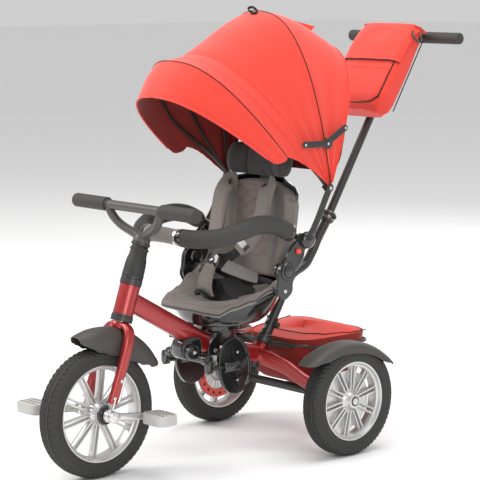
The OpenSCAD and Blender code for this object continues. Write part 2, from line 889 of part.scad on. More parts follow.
module headrest() {
    color([0.29, 0.28, 0.27])
    reclined() {
        hull() {
            for (s = [-1, 1]) {
                translate([s * 82, 22, 214]) cylinder(h = 60, r = 12, $fn = 32);
                translate([s * 60, 52, 212]) cylinder(h = 66, r = 12, $fn = 32);
            }
        }
        translate([-20, 58, 132]) cube([40, 6, 82]);
    }
}

module shoulder_straps() {
    color([0.56, 0.54, 0.51])
    reclined() for (s = [-1, 1])
        sweep(spline([
            [s * 58, 20, 188], [s * 66, 4, 178], [s * 70, -6, 140], [s * 66, -16, 90],
            [s * 52, -34, 50], [s * 34, -56, 24]
        ], 3), 20, 5, [0, -1, 0.2], 12);
}

// ---------------------------------------------------------------- guard bar

guard_half = [
    [0, 190, 514], [50, 194, 514], [96, 210, 515], [134, 244, 518], [152, 290, 524],
    [arm_x - 6, 340, 530], [arm_x - 1, 385, 530], [arm_x - 1, 424, 524]
];
guard_tail = [
    [arm_x - 1, 424, 524], [arm_x - 6, 433, 520], [arm_x - 8, 444, 512], [arm_x - 8, 456, 502]
];

module guard_bar() {
    color([0.1, 0.1, 0.1])
    placed() {
        sweep(spline(concat(mirror_x(guard_half), guard_half), 3), 8, 8, [0, 0, 1], 16);
        for (s = [-1, 1]) {
            difference() {
                union() {
                    sweep(
                        spline([for (p = guard_tail) [s * p[0], p[1], p[2]]], 3),
                        7, 7, [0, 0, 1], 16
                    );
                    pin_x(s * (arm_x - 5) - 4, s * (arm_x - 5) + 4, guard_pivot, 14);
                }
                pin_x(s * arm_x - 20, s * arm_x + 20, guard_pivot, 5 + fit);
            }
        }
        rod([-46, 189, 514], [46, 189, 514], 17);
    }
}

// Hollow sleeve swept along points
module sleeve(pts, outer, inner, ref, sides = 20) {
    rings = len(pts);
    n = rings * sides;
    verts = [
        for (r = [outer, inner], i = [0 : rings - 1])
            let (t = tangent(pts, i), n = unit(cross(t, ref)), b = cross(n, t))
                for (k = [0 : sides - 1])
                    pts[i] + n * r * cos(360 * (k + 0.5) / sides)
                    + b * r * sin(360 * (k + 0.5) / sides)
    ];
    walls = [
        for (i = [0 : rings - 2], k = [0 : sides - 1])
            let (a = i * sides + k, c = i * sides + (k + 1) % sides)
                each [[a, c, c + sides, a + sides], [n + a + sides, n + c + sides, n + c, n + a]]
    ];
    ends = [
        for (k = [0 : sides - 1])
            let (j = (k + 1) % sides, z = (rings - 1) * sides)
                each [[k, n + k, n + j, j], [z + j, n + z + j, n + z + k, z + k]]
    ];
    polyhedron(points = verts, faces = concat(walls, ends));
}

module guard_foam() {
    path = spline(concat(mirror_x(guard_half), guard_half), 3);
    last = len(path) - 1;
    middle = last / 2;
    color([0.17, 0.16, 0.16])
    placed() for (first = [0, middle + 3])
        sleeve([for (i = [first : first + middle - 3]) path[i]], foam_r, 8.2, [0, 0, 1]);
}

// Push button that frees the guard bar, in a pocket of the arm
button_at = [440, 471];
module guard_button(side) {
    color([0.85, 0.12, 0.1])
    placed() pin_x(
        side > 0 ? arm_x + 7 : -arm_x - arm_t - 7, side > 0 ? arm_x + arm_t + 7 : -arm_x - 7,
        button_at, 6
    );
}

module guard_button_left() { guard_button(1); }
module guard_button_right() { guard_button(-1); }

// ---------------------------------------------------------------- hood

// Plane of a bow: local X across, local Y up the bow
module bow_plane(angle) {
    placed() translate([0, hood_pivot[0], hood_pivot[1]]) rotate([90 - angle, 0, 0]) children();
}

module bow(b, inset) {
    bow_plane(b[0]) difference() {
        union() {
            translate([0, 0, -4]) linear_extrude(8) difference() {
                polygon(arch(b[1] - inset, b[2] - inset, b[3], 40));
                polygon(arch(b[1] - inset - 4, b[2] - inset - 4, b[3], 40));
            }
            for (s = [-1, 1])
                translate([s * (b[1] - inset - 2) - 2, 0, 0]) rotate([0, 90, 0])
                    cylinder(h = 4, r = 9);
        }
        translate([-hood_half - 20, 0, 0]) rotate([0, 90, 0])
            cylinder(h = 2 * hood_half + 40, r = 4 + fit);
    }
}

module hood_stems() {
    color([0.08, 0.08, 0.08]) {
        placed() for (s = [-1, 1]) {
            side_view(s > 0 ? hood_half - 8 : -hood_half + 2, 6)
                bar_2d([478, 512], hood_pivot, 9);
            pin_x(
                s > 0 ? hood_half - 26 : -hood_half + 1, s > 0 ? hood_half - 1 : -hood_half + 26,
                hood_pivot, 4
            );
        }
        bow_rear_only();
    }
}

// The rear bow is fast on the stems, so it has no bore
module bow_rear_only() {
    bow_plane(bow_rear[0]) difference() {
        translate([0, 0, -4]) linear_extrude(8) difference() {
            polygon(arch(bow_rear[1] - 3.5, bow_rear[2] - 5, bow_rear[3], 40));
            polygon(arch(bow_rear[1] - 7.5, bow_rear[2] - 9, bow_rear[3], 40));
        }
        translate([-hood_half - 10, -10, -5]) cube([2 * hood_half + 20, 16, 10]);
    }
}

module hood_bow_middle() { color([0.1, 0.1, 0.1]) bow(bow_middle, 10.5); }
module hood_bow_front() { color([0.1, 0.1, 0.1]) bow(bow_front, 7); }
module hood_bow_visor() { color([0.1, 0.1, 0.1]) bow(bow_visor, 6.5); }

// Cloth sections: a bow, then the angle up the arch at which the cloth's hem starts
hood_sections = [
    [[-66, 158, 462, 2.2], 19], [[-59, 164, 456, 2.1], 16], [bow_visor, 12],
    [[-46, hood_half - 9, 406, 2], 9], [bow_front, 6.5], [[-23, hood_half - 1, 388, 2], 5],
    [bow_middle, 4], [[7, hood_half + 1, 372, 2.3], 3.5], [bow_rear, 3]
];
cloth_steps = 28;

// One row of cloth points on a section, moved out by t
function cloth_row(section, t) = [
    for (i = [0 : cloth_steps])
        let (
            b = section[0], w = lerp(section[1], 180 - section[1], i / cloth_steps),
            across = (b[1] + t) * sign(cos(w)) * pow(abs(cos(w)), 2 / b[3]),
            up = (b[2] + t) * pow(sin(w), 2 / b[3])
        ) [across, hood_pivot[0] + up * sin(b[0]), hood_pivot[1] + up * cos(b[0])]
];

module hood_cloth() {
    n = cloth_steps + 1;
    rows = len(hood_sections);
    outer = [for (b = hood_sections) each cloth_row(b, 0)];
    inner = [for (b = hood_sections) each cloth_row(b, -cloth_t)];
    m = rows * n;
    color([0.94, 0.27, 0.22])
    placed() polyhedron(
        points = concat(outer, inner),
        faces = concat(
            [for (i = [0 : rows - 2], k = [0 : n - 2])
                let (a = i * n + k) [a, a + 1, a + n + 1, a + n]],
            [for (i = [0 : rows - 2], k = [0 : n - 2])
                let (a = m + i * n + k) [a + n, a + n + 1, a + 1, a]],
            [for (k = [0 : n - 2]) [k + m, k + 1 + m, k + 1, k]],
            [for (k = [0 : n - 2]) let (a = (rows - 1) * n + k) [a, a + 1, a + 1 + m, a + m]],
            [for (i = [0 : rows - 2]) let (a = i * n) [a, a + n, a + n + m, a + m]],
            [for (i = [0 : rows - 2]) let (a = i * n + n - 1) [a + m, a + n + m, a + n, a]]
        )
    );
}

// Folding side links: front rivet, elbow and rear rivet as [y, z]
link_front = [438, 710];
link_elbow = [508, 709];
link_rear = [566, 741];
link_x = hood_half + 6;

module hood_links_rear() {
    color([0.3, 0.3, 0.3])
    placed() for (s = [-1, 1]) difference() {
        side_view(s > 0 ? link_x : -link_x - 4, 4) bar_2d(link_elbow, link_rear, 6.5);
        pin_x(s * link_x - 8, s * link_x + 8, link_rear, 3);
    }
}

module hood_links_front() {
    color([0.3, 0.3, 0.3])
    placed() for (s = [-1, 1])
        side_view(s > 0 ? link_x + 4 + gap : -link_x - 8 - gap, 4) bar_2d(link_front, link_elbow, 6.5);
}

// ---------------------------------------------------------------- push handle, bag

module push_tube_lower() {
    color([0.1, 0.1, 0.1])
    placed() difference() {
        union() {
            rod(stem_foot + stem_dir * 21, stem_foot + stem_dir * 168, push_tube_r);
            sweep(spline(push_bend, 3), push_tube_r, push_tube_r, [1, 0, 0], 20);
            rod([0, 661, 450], push_collar, push_tube_r);
            rod(push_collar - push_dir * 16, push_collar + push_dir * 8, push_tube_r + 7);
        }
        rod(
            push_collar - push_dir * (push_travel + 27), push_collar + push_dir * 20,
            push_inner_r + fit
        );
        rod(push_latch_at + [12, 0, 0], push_latch_at + [30, 0, 0], 5 + fit);
    }
}

module push_tube_upper() {
    color([0.09, 0.09, 0.09])
    placed() {
        rod(push_collar - push_dir * 24, push_top, push_inner_r);
        pin_x(-push_bar_half + 4, push_bar_half - 4, [push_top[1], push_top[2]], push_inner_r);
        for (s = [-1, 1])
            pin_x(
                s > 0 ? 26 : -push_bar_half, s > 0 ? push_bar_half : -26,
                [push_top[1], push_top[2]], push_grip_r
            );
    }
}

push_latch_at = push_collar - push_dir * 4;
module push_latch() {
    color([0.75, 0.1, 0.08])
    placed() rod(push_latch_at + [14.5, 0, 0], push_latch_at + [25, 0, 0], 5);
}

// The bag lies against the front of the push tube
module on_push_tube() {
    placed() translate(push_top) rotate([-push_lean, 0, 0]) children();
}

bag_back = push_grip_r + 1;
module bag() {
    color([0.94, 0.27, 0.22])
    on_push_tube() hull() for (s = [-1, 1]) {
        translate([s * (bag_w / 2 - 24), -bag_back - 2, -bag_h + 34]) rotate([90, 0, 0])
            cylinder(h = bag_d - 10, r = 24, $fn = 32);
        translate([s * (bag_w / 2 - 16), -bag_back - 2, -14]) rotate([90, 0, 0])
            cylinder(h = bag_d - 22, r = 16, $fn = 32);
    }
}

module bag_flap() {
    w = bag_w / 2 - 2;
    e = -bag_back - bag_d;
    color([0.96, 0.3, 0.24])
    on_push_tube() translate([-w, 0, 0]) rotate([90, 0, 90]) linear_extrude(2 * w) polygon([
        [-bag_back - 2, 2.5], [e + 19.4, 2.5], [e + 12, -110], [e + 9, -110],
        [e + 16.2, 4], [e + 18.5, 5.4], [-bag_back - 2, 5.4]
    ]);
}

main_tube();
rear_beam();
head_caps();
seat_post();
push_stem();
footrest_bar();
footrest_left();
footrest_right();
rear_axle();
rear_fender_left();
rear_fender_right();
basket_frame();
basket();
basket_lid();
frame_bolts();
fork();
front_fender();
steering_sleeve();
handlebar();
grip_left();
grip_right();
front_tyre();
front_rim();
clutch_knob();
crank();
pedal_left();
pedal_right();
rear_tyre_left();
rear_rim_left();
brake_ring_left();
rear_tyre_right();
rear_rim_right();
brake_ring_right();
brake_pedal();
seat_shell();
seat_cushion();
seat_arm_left();
seat_arm_right();
swivel_lever();
harness_buckle();
back_shell();
back_pad();
headrest();
shoulder_straps();
guard_bar();
guard_foam();
guard_button_left();
guard_button_right();
hood_stems();
hood_bow_middle();
hood_bow_front();
hood_bow_visor();
hood_cloth();
hood_links_rear();
hood_links_front();
push_tube_lower();
push_tube_upper();
push_latch();
bag();
bag_flap();
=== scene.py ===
import math

import bmesh
import bpy
from mathutils import Matrix, Vector, noise


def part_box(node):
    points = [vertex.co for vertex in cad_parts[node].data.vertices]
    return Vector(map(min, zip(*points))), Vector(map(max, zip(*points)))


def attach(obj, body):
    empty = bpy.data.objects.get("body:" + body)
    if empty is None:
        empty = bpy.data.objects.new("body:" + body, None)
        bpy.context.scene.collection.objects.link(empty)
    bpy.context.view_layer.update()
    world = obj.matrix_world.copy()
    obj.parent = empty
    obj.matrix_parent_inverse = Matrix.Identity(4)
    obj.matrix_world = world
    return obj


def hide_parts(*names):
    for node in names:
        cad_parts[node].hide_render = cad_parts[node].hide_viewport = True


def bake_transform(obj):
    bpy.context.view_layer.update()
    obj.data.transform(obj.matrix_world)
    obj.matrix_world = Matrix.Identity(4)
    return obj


bl_info = {
    "name": "Children's tricycle",
    "version": (1, 0, 0),
    "blender": (4, 5, 0),
    "location": "3D View > Sidebar > Tricycle",
    "description": "Builds the looks of a push-along tricycle around its frame",
    "category": "Object",
}

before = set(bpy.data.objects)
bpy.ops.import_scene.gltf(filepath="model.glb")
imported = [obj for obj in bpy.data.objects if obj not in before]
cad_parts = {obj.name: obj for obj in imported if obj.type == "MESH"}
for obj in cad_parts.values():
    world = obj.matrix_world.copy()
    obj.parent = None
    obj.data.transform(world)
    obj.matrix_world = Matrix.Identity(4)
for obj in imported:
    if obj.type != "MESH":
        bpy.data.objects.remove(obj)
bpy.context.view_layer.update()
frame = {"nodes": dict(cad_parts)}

MM = 0.001
LEFT, RIGHT = 1, -1
SIDES = ((LEFT, "left"), (RIGHT, "right"))


def middle(node):
    """Middle of a frame node's box."""
    low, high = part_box(node)
    return (Vector(low) + Vector(high)) / 2


AXLE_Y = middle("front_tyre").y
FRONT_R = middle("front_tyre").z / MM
REAR_R = middle("rear_tyre_left").z / MM
WHEELBASE = (middle("rear_tyre_left").y - AXLE_Y) / MM
TRACK = middle("rear_tyre_left").x / MM


def at(x, y, z):
    """Point given in millimetres from the floor under the front axle."""
    return Vector((x * MM, y * MM + AXLE_Y, z * MM))


# ------------------------------------------------------------------ curves


def lerp(a, b, t):
    """Value a share t of the way from a to b."""
    return a + (b - a) * t


def ease(t):
    """Smooth step from 0 to 1."""
    t = max(0.0, min(1.0, t))
    return t * t * (3 - 2 * t)


def table(rows, x):
    """Smooth interpolation in rows of (x, value, ...); returns a number or a list."""
    if x <= rows[0][0]:
        out = rows[0][1:]
    elif x >= rows[-1][0]:
        out = rows[-1][1:]
    else:
        for a, b in zip(rows, rows[1:]):
            if x <= b[0]:
                t = ease((x - a[0]) / (b[0] - a[0]))
                out = [lerp(p, q, t) for p, q in zip(a[1:], b[1:])]
                break
    return out[0] if len(out) == 1 else list(out)


def smooth_path(points, steps=8, closed=False):
    """Catmull-Rom curve through points."""
    pts = [Vector(p) for p in points]
    n = len(pts)
    out = []
    spans = n if closed else n - 1
    for i in range(spans):
        if closed:
            p0, p1, p2, p3 = (pts[(i + k) % n] for k in (-1, 0, 1, 2))
        else:
            p0, p1, p2, p3 = (pts[min(max(i + k, 0), n - 1)] for k in (-1, 0, 1, 2))
        for k in range(steps):
            t = k / steps
            out.append(
                0.5
                * (
                    2 * p1
                    + (p2 - p0) * t
                    + (2 * p0 - 5 * p1 + 4 * p2 - p3) * t * t
                    + (3 * p1 - p0 - 3 * p2 + p3) * t**3
                )
            )
    if not closed:
        out.append(pts[-1])
    return out


def blunt(v, squareness):
    """Sine or cosine of a superellipse, its sign kept."""
    return math.copysign(abs(v) ** (2 / squareness), v)


def oval(wide, tall, sides=24, squareness=2.0):
    """Section points of a superellipse."""
    return [
        (
            wide * blunt(math.cos(2 * math.pi * (k + 0.5) / sides), squareness),
            tall * blunt(math.sin(2 * math.pi * (k + 0.5) / sides), squareness),
        )
        for k in range(sides)
    ]


# ------------------------------------------------------------------ meshes


class Shape:
    """Vertices in metres and faces, with a material number for each face."""

    def __init__(self):
        self.verts, self.faces, self.slots = [], [], []

    def add(self, verts, faces, slot=0):
        """Adds a mesh, its faces all of one material."""
        base = len(self.verts)
        self.verts += [Vector(v) for v in verts]
        self.faces += [tuple(base + i for i in f) for f in faces]
        self.slots += [slot] * len(faces)
        return self

    def loft(self, rings, slot=0, caps=True):
        """Skin over rings of equal length; rounded off by flat caps."""
        n, m = len(rings[0]), len(rings)
        verts = [v for ring in rings for v in ring]
        faces = []
        for i in range(m - 1):
            for k in range(n):
                q = (k + 1) % n
                faces.append((i * n + k, i * n + q, (i + 1) * n + q, (i + 1) * n + k))
        if caps:
            faces.append(tuple(range(n - 1, -1, -1)))
            faces.append(tuple((m - 1) * n + k for k in range(n)))
        return self.add(verts, faces, slot)

    def sweep(self, path, section, up=(0, 0, 1), slot=0, caps=True, scale=None):
        """Section (u across up, v along up) carried along a path in metres."""
        up = Vector(up)
        rings = []
        last = len(path) - 1
        for i, p in enumerate(path):
            t = (path[min(i + 1, last)] - path[max(i - 1, 0)]).normalized()
            across = t.cross(up).normalized()
            over = across.cross(t)
            k = scale(i / last) if scale else 1.0
            ku, kv = k if isinstance(k, tuple) else (k, k)
            rings.append([p + across * u * ku * MM + over * v * kv * MM for u, v in section])
        return self.loft(rings, slot, caps)

    def tube(self, path, radius, sides=20, slot=0, up=(0, 0, 1), rounded=0.0, steps=8):
        """Round tube through points in millimetres, its ends rounded over."""
        pts = [at(*p) for p in path] if not isinstance(path[0], Vector) else path
        if len(pts) > 2 and steps > 1:
            pts = smooth_path(pts, steps)
        sec = oval(radius, radius, sides)
        if rounded:
            r = rounded * MM
            first = (pts[1] - pts[0]).normalized()
            final = (pts[-1] - pts[-2]).normalized()
            pts = [pts[0], pts[0] + first * r * 0.3, pts[0] + first * r] + pts[1:-1] + [
                pts[-1] - final * r, pts[-1] - final * r * 0.3, pts[-1]
            ]
            ks = [1 - rounded / radius, 1 - rounded / radius * 0.3, 1]
            full = ks + [1] * (len(pts) - 6) + ks[::-1]
            n = len(pts) - 1
            return self.sweep(pts, sec, up, slot, True, lambda t: full[round(t * n)])
        return self.sweep(pts, sec, up, slot)

    def lathe(self, profile, origin, axis, steps=64, slot=0, caps=True, ripple=None):
        """Profile of (along, radius) in millimetres, turned about an axis."""
        axis = Vector(axis).normalized()
        side = axis.orthogonal().normalized()
        if abs(axis.x) > 0.9:
            side = Vector((0, 0, 1))
        over = axis.cross(side)
        rings = []
        for a, r in profile:
            ring = []
            for k in range(steps):
                w = 2 * math.pi * k / steps
                rr = r + (ripple(a, r, k) if ripple else 0)
                ring.append(origin + axis * a * MM + (side * math.cos(w) + over * math.sin(w)) * rr * MM)
            rings.append(ring)
        return self.loft(rings, slot, caps)

    def sheet(self, grid, thick, slot=0, inner_slot=None, wrap=False):
        """Closed sheet of even thickness over a grid of points, rows by columns."""
        rows, cols = len(grid), len(grid[0])
        outer = [p for row in grid for p in row]
        normals = []
        for i in range(rows):
            for k in range(cols):
                if wrap:
                    a, b = grid[i][(k - 1) % cols], grid[i][(k + 1) % cols]
                else:
                    a, b = grid[i][max(k - 1, 0)], grid[i][min(k + 1, cols - 1)]
                c, d = grid[max(i - 1, 0)][k], grid[min(i + 1, rows - 1)][k]
                n = (b - a).cross(d - c)
                normals.append(n.normalized() if n.length > 1e-12 else Vector((0, 0, 1)))
        inner = [p - n * thick * MM for p, n in zip(outer, normals)]
        m = rows * cols
        spans = cols if wrap else cols - 1
        top, under, edge = [], [], []
        for i in range(rows - 1):
            for k in range(spans):
                q = (k + 1) % cols
                a, b, c, d = i * cols + k, i * cols + q, (i + 1) * cols + q, (i + 1) * cols + k
                top.append((a, b, c, d))
                under.append((m + d, m + c, m + b, m + a))
        for k in range(spans):
            q = (k + 1) % cols
            edge.append((m + k, m + q, q, k))
            z = (rows - 1) * cols
            edge.append((z + k, z + q, m + z + q, m + z + k))
        if not wrap:
            for i in range(rows - 1):
                a, b = i * cols, (i + 1) * cols
                edge.append((a, b, m + b, m + a))
                a, b = i * cols + cols - 1, (i + 1) * cols + cols - 1
                edge.append((m + a, m + b, b, a))
        base = len(self.verts)
        self.add(outer + inner, [])
        for faces, s in ((top, slot), (under, slot if inner_slot is None else inner_slot), (edge, slot)):
            self.faces += [tuple(base + i for i in f) for f in faces]
            self.slots += [s] * len(faces)
        return self

    def bolt(self, centre, axis, radius=5, height=3, slot=0):
        """Domed hex-socket bolt head."""
        r = radius
        return self.lathe(
            [(0, r), (height * 0.6, r), (height * 0.9, r * 0.82), (height, r * 0.55),
             (height * 0.95, r * 0.42), (height * 0.45, r * 0.4)],
            centre, axis, 18, slot,
        )


def make(name, shape, materials, body, stands_for=(), angle=38, weld=False):
    """Turns a shape into a piece that rides on a body of the frame."""
    mesh = bpy.data.meshes.new(name)
    mesh.from_pydata(shape.verts, [], shape.faces)
    mesh.polygons.foreach_set("material_index", shape.slots)
    bm = bmesh.new()
    bm.from_mesh(mesh)
    if weld:
        bmesh.ops.remove_doubles(bm, verts=bm.verts, dist=1e-5)
    bmesh.ops.recalc_face_normals(bm, faces=bm.faces)
    bm.to_mesh(mesh)
    bm.free()
    for m in materials if isinstance(materials, (list, tuple)) else [materials]:
        mesh.materials.append(finish(m))
    mesh.shade_smooth()
    mesh.set_sharp_from_angle(angle=math.radians(angle))
    obj = bpy.data.objects.new(name, mesh)
    bpy.context.scene.collection.objects.link(obj)
    if isinstance(body, str):
        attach(obj, body)
    if stands_for:
        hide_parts(*([stands_for] if isinstance(stands_for, str) else stands_for))
    return obj


# ------------------------------------------------------------------ finishes


def node_group(name, inputs, outputs):
    """Empty shader group with its sockets; returns it, its input node and its output node."""
    tree = bpy.data.node_groups.new(name, "ShaderNodeTree")
    for label, kind, default in inputs:
        s = tree.interface.new_socket(label, in_out="INPUT", socket_type=kind)
        s.default_value = default
    for label, kind in outputs:
        tree.interface.new_socket(label, in_out="OUTPUT", socket_type=kind)
    return tree, tree.nodes.new("NodeGroupInput"), tree.nodes.new("NodeGroupOutput")


FLOAT, COLOR = "NodeSocketFloat", "NodeSocketColor"


def node(tree, kind, links=None, **values):
    """New node; values set its properties or sockets, links feed its sockets."""
    n = tree.nodes.new(kind)
    for key, value in values.items():
        if key.startswith("s_"):
            n.inputs[int(key[2:])].default_value = value
        else:
            setattr(n, key, value)
    for key, source in (links or {}).items():
        tree.links.new(source, n.inputs[key])
    return n


def math_node(tree, op, a, b=None, clamp=False):
    """Output of a math node fed by numbers or sockets."""
    n = tree.nodes.new("ShaderNodeMath")
    n.operation, n.use_clamp = op, clamp
    for i, v in enumerate((a, b)):
        if v is None:
            continue
        if isinstance(v, (int, float)):
            n.inputs[i].default_value = v
        else:
            tree.links.new(v, n.inputs[i])
    return n.outputs[0]


def mix_colour(tree, fac, a, b):
    """Output of a colour mix fed by colours or sockets."""
    n = tree.nodes.new("ShaderNodeMix")
    n.data_type = "RGBA"
    for i, v in ((0, fac), (6, a), (7, b)):
        if isinstance(v, (int, float, tuple)):
            n.inputs[i].default_value = v
        else:
            tree.links.new(v, n.inputs[i])
    return n.outputs[2]


def weave_group():
    """Plain weave: two sets of crossing threads with slubs and soft shade changes."""
    g, gin, gout = node_group(
        "Woven threads",
        [("Colour", COLOR, (0.8, 0.2, 0.15, 1)), ("Shade", COLOR, (0.5, 0.1, 0.08, 1)),
         ("Scale", FLOAT, 900.0), ("Depth", FLOAT, 1.0)],
        [("Colour", COLOR), ("Height", FLOAT), ("Roughness", FLOAT)],
    )
    pos = node(g, "ShaderNodeTexCoord").outputs["Object"]
    split = node(g, "ShaderNodeSeparateXYZ", {0: pos})
    waves = []
    for a, b in (("X", "Z"), ("Y", "Z")):
        for sign in (1, -1):
            s = math_node(g, "MULTIPLY", split.outputs[b], sign)
            s = math_node(g, "ADD", split.outputs[a], s)
            s = math_node(g, "MULTIPLY", s, gin.outputs["Scale"])
            waves.append(math_node(g, "SINE", s))
    h = math_node(g, "MULTIPLY", waves[0], waves[1])
    h2 = math_node(g, "MULTIPLY", waves[2], waves[3])
    h = math_node(g, "ADD", h, h2)
    slub = node(g, "ShaderNodeTexNoise", {"Vector": pos}, s_2=160.0, s_3=3.0)
    wide = node(g, "ShaderNodeTexNoise", {"Vector": pos}, s_2=9.0, s_3=2.0)
    fine = math_node(g, "MULTIPLY", h, 0.13)
    tone = math_node(g, "ADD", math_node(g, "MULTIPLY", slub.outputs[0], 0.5), fine)
    tone = math_node(g, "ADD", tone, math_node(g, "MULTIPLY", wide.outputs[0], 0.5), True)
    tone = math_node(g, "SUBTRACT", math_node(g, "MULTIPLY", tone, 1.3), 0.35, True)
    g.links.new(mix_colour(g, tone, gin.outputs["Shade"], gin.outputs["Colour"]), gout.inputs["Colour"])
    height = math_node(g, "ADD", h, math_node(g, "MULTIPLY", slub.outputs[0], 1.2))
    g.links.new(math_node(g, "MULTIPLY", height, gin.outputs["Depth"]), gout.inputs["Height"])
    g.links.new(
        math_node(g, "ADD", 0.72, math_node(g, "MULTIPLY", slub.outputs[0], 0.2)),
        gout.inputs["Roughness"],
    )
    return g


def grain_group():
    """Fine moulded or sprayed grain with broad patches of sheen."""
    g, gin, gout = node_group(
        "Moulded grain",
        [("Colour", COLOR, (0.1, 0.1, 0.1, 1)), ("Worn", COLOR, (0.2, 0.2, 0.2, 1)),
         ("Scale", FLOAT, 900.0), ("Base", FLOAT, 0.4), ("Spread", FLOAT, 0.1), ("Edge", FLOAT, 0.3)],
        [("Colour", COLOR), ("Height", FLOAT), ("Roughness", FLOAT)],
    )
    pos = node(g, "ShaderNodeTexCoord").outputs["Object"]
    fine = node(g, "ShaderNodeTexNoise", {"Vector": pos, "Scale": gin.outputs["Scale"]}, s_3=2.0)
    wide = node(g, "ShaderNodeTexNoise", {"Vector": pos}, s_2=14.0, s_3=4.0)
    sharp = node(g, "ShaderNodeNewGeometry").outputs["Pointiness"]
    edge = math_node(g, "MULTIPLY", math_node(g, "SUBTRACT", sharp, 0.52), 9.0, True)
    edge = math_node(g, "MULTIPLY", edge, wide.outputs[0])
    edge = math_node(g, "MULTIPLY", edge, gin.outputs["Edge"], True)
    speck = math_node(g, "MULTIPLY", math_node(g, "SUBTRACT", wide.outputs[0], 0.5), 0.35)
    mask = math_node(g, "ADD", edge, speck, True)
    g.links.new(mix_colour(g, mask, gin.outputs["Colour"], gin.outputs["Worn"]), gout.inputs["Colour"])
    rough = math_node(g, "MULTIPLY", math_node(g, "SUBTRACT", wide.outputs[0], 0.4), gin.outputs["Spread"])
    rough = math_node(g, "ADD", rough, gin.outputs["Base"], True)
    g.links.new(rough, gout.inputs["Roughness"])
    g.links.new(fine.outputs[0], gout.inputs["Height"])
    return g


GROUPS, FINISHES = {}, {}


def group(name, maker):
    """The shader group of that name, built when first asked for."""
    if name not in GROUPS:
        GROUPS[name] = maker()
    return GROUPS[name]


def shade(rgb, k):
    """A colour made lighter or darker."""
    return (min(1, rgb[0] * k), min(1, rgb[1] * k), min(1, rgb[2] * k), 1)


def coated(name, rgb, maker, values, relief, distance, surface):
    """Material fed by a shader group; values set the group, surface the shader."""
    mat = bpy.data.materials.new(name)
    mat.use_nodes = True
    t = mat.node_tree
    bsdf = t.nodes["Principled BSDF"]
    g = t.nodes.new("ShaderNodeGroup")
    g.node_tree = group(maker.__name__, maker)
    for key, value in {"Colour": (*rgb, 1), **values}.items():
        g.inputs[key].default_value = value
    t.links.new(g.outputs["Colour"], bsdf.inputs["Base Color"])
    t.links.new(g.outputs["Roughness"], bsdf.inputs["Roughness"])
    bump = node(t, "ShaderNodeBump", {"Height": g.outputs["Height"]})
    bump.inputs["Strength"].default_value = relief
    bump.inputs["Distance"].default_value = distance
    t.links.new(bump.outputs[0], bsdf.inputs["Normal"])
    for key, value in surface.items():
        bsdf.inputs[key].default_value = value
    mat.diffuse_color = (*rgb, 1)
    return mat


def grained(name, rgb, base=0.4, spread=0.15, metallic=0.0, coat=0.0, scale=900.0, depth=0.02,
            edge=0.3, worn=1.8):
    """Painted, moulded or plated finish."""
    return coated(
        name, rgb, grain_group,
        {"Worn": shade(rgb, worn), "Scale": scale, "Base": base, "Spread": spread, "Edge": edge},
        0.25, depth * MM * 10,
        {"Metallic": metallic, "Coat Weight": coat, "Coat Roughness": 0.08, "Specular IOR Level": 0.5},
    )


def woven(name, rgb, dark=0.62, scale=1500.0, depth=0.12):
    """Cloth, webbing or thread."""
    return coated(
        name, rgb, weave_group, {"Shade": shade(rgb, dark), "Scale": scale}, 0.35, depth * MM,
        {"Sheen Weight": 0.25, "Sheen Roughness": 0.5, "Specular IOR Level": 0.25},
    )


def finish(name):
    """The material of that name, built when first asked for."""
    if name in FINISHES:
        return FINISHES[name]
    c = bpy.context.scene.tricycle_colours
    makers = {
        "candy red": lambda: grained(name, c.frame[:], 0.3, 0.1, 0.45, 0.9, 2600, 0.02, 0.2, 1.5),
        "bright red": lambda: grained(name, c.cloth[:], 0.35, 0.1, 0, 0.3, 700, 0.02),
        "dark grey plastic": lambda: grained(name, (0.052, 0.047, 0.043), 0.5, 0.12, 0, 0, 2200, 0.05),
        "grey powder coat": lambda: grained(name, (0.085, 0.078, 0.073), 0.42, 0.12, 0.25, 0, 2600, 0.03),
        "satin black": lambda: grained(name, (0.03, 0.028, 0.027), 0.38, 0.12, 0.1, 0.1, 1800, 0.02),
        "gloss black": lambda: grained(name, (0.014, 0.013, 0.013), 0.16, 0.1, 0, 0.7, 300, 0.01),
        "matt black": lambda: grained(name, (0.022, 0.021, 0.02), 0.6, 0.1, 0, 0, 1800, 0.04),
        "silver": lambda: grained(name, (0.6, 0.595, 0.585), 0.3, 0.12, 0.7, 0.4, 1800, 0.01, 0.2, 1.2),
        "zinc": lambda: grained(name, (0.66, 0.65, 0.64), 0.24, 0.15, 0.9, 0.0, 900, 0.01, 0.2, 1.3),
        "tyre rubber": lambda: grained(name, (0.022, 0.021, 0.02), 0.62, 0.15, 0, 0, 1500, 0.08),
        "foam": lambda: grained(name, (0.04, 0.037, 0.034), 0.7, 0.1, 0, 0, 1700, 0.12),
        "pedal grey": lambda: grained(name, (0.45, 0.44, 0.42), 0.5, 0.1, 0, 0, 1500, 0.04),
        "coral cloth": lambda: woven(name, c.cloth[:], 0.88, 1100, 0.05),
        # Same coral cloth made darker, for the hood's underside, the basket's inside and the hood's rear curtain:
        # painted shade.
        "coral cloth in painted shade": lambda: woven(name, tuple(v * 0.42 for v in c.cloth[:])),
        "taupe cloth": lambda: woven(name, c.seat[:], 0.7, 1300),
        "charcoal cloth": lambda: woven(name, (0.075, 0.072, 0.068), 0.6, 1300),
        "black webbing": lambda: woven(name, (0.012, 0.012, 0.012), 0.5, 2400),
        "red thread": lambda: woven(name, (0.42, 0.03, 0.028), 0.8, 3000),
        "dark thread": lambda: woven(name, (0.02, 0.008, 0.008), 0.7, 3000),
        "coral thread": lambda: woven(name, tuple(v * 0.55 for v in c.cloth[:]), 0.7, 3000),
    }
    FINISHES[name] = makers[name]()
    return FINISHES[name]


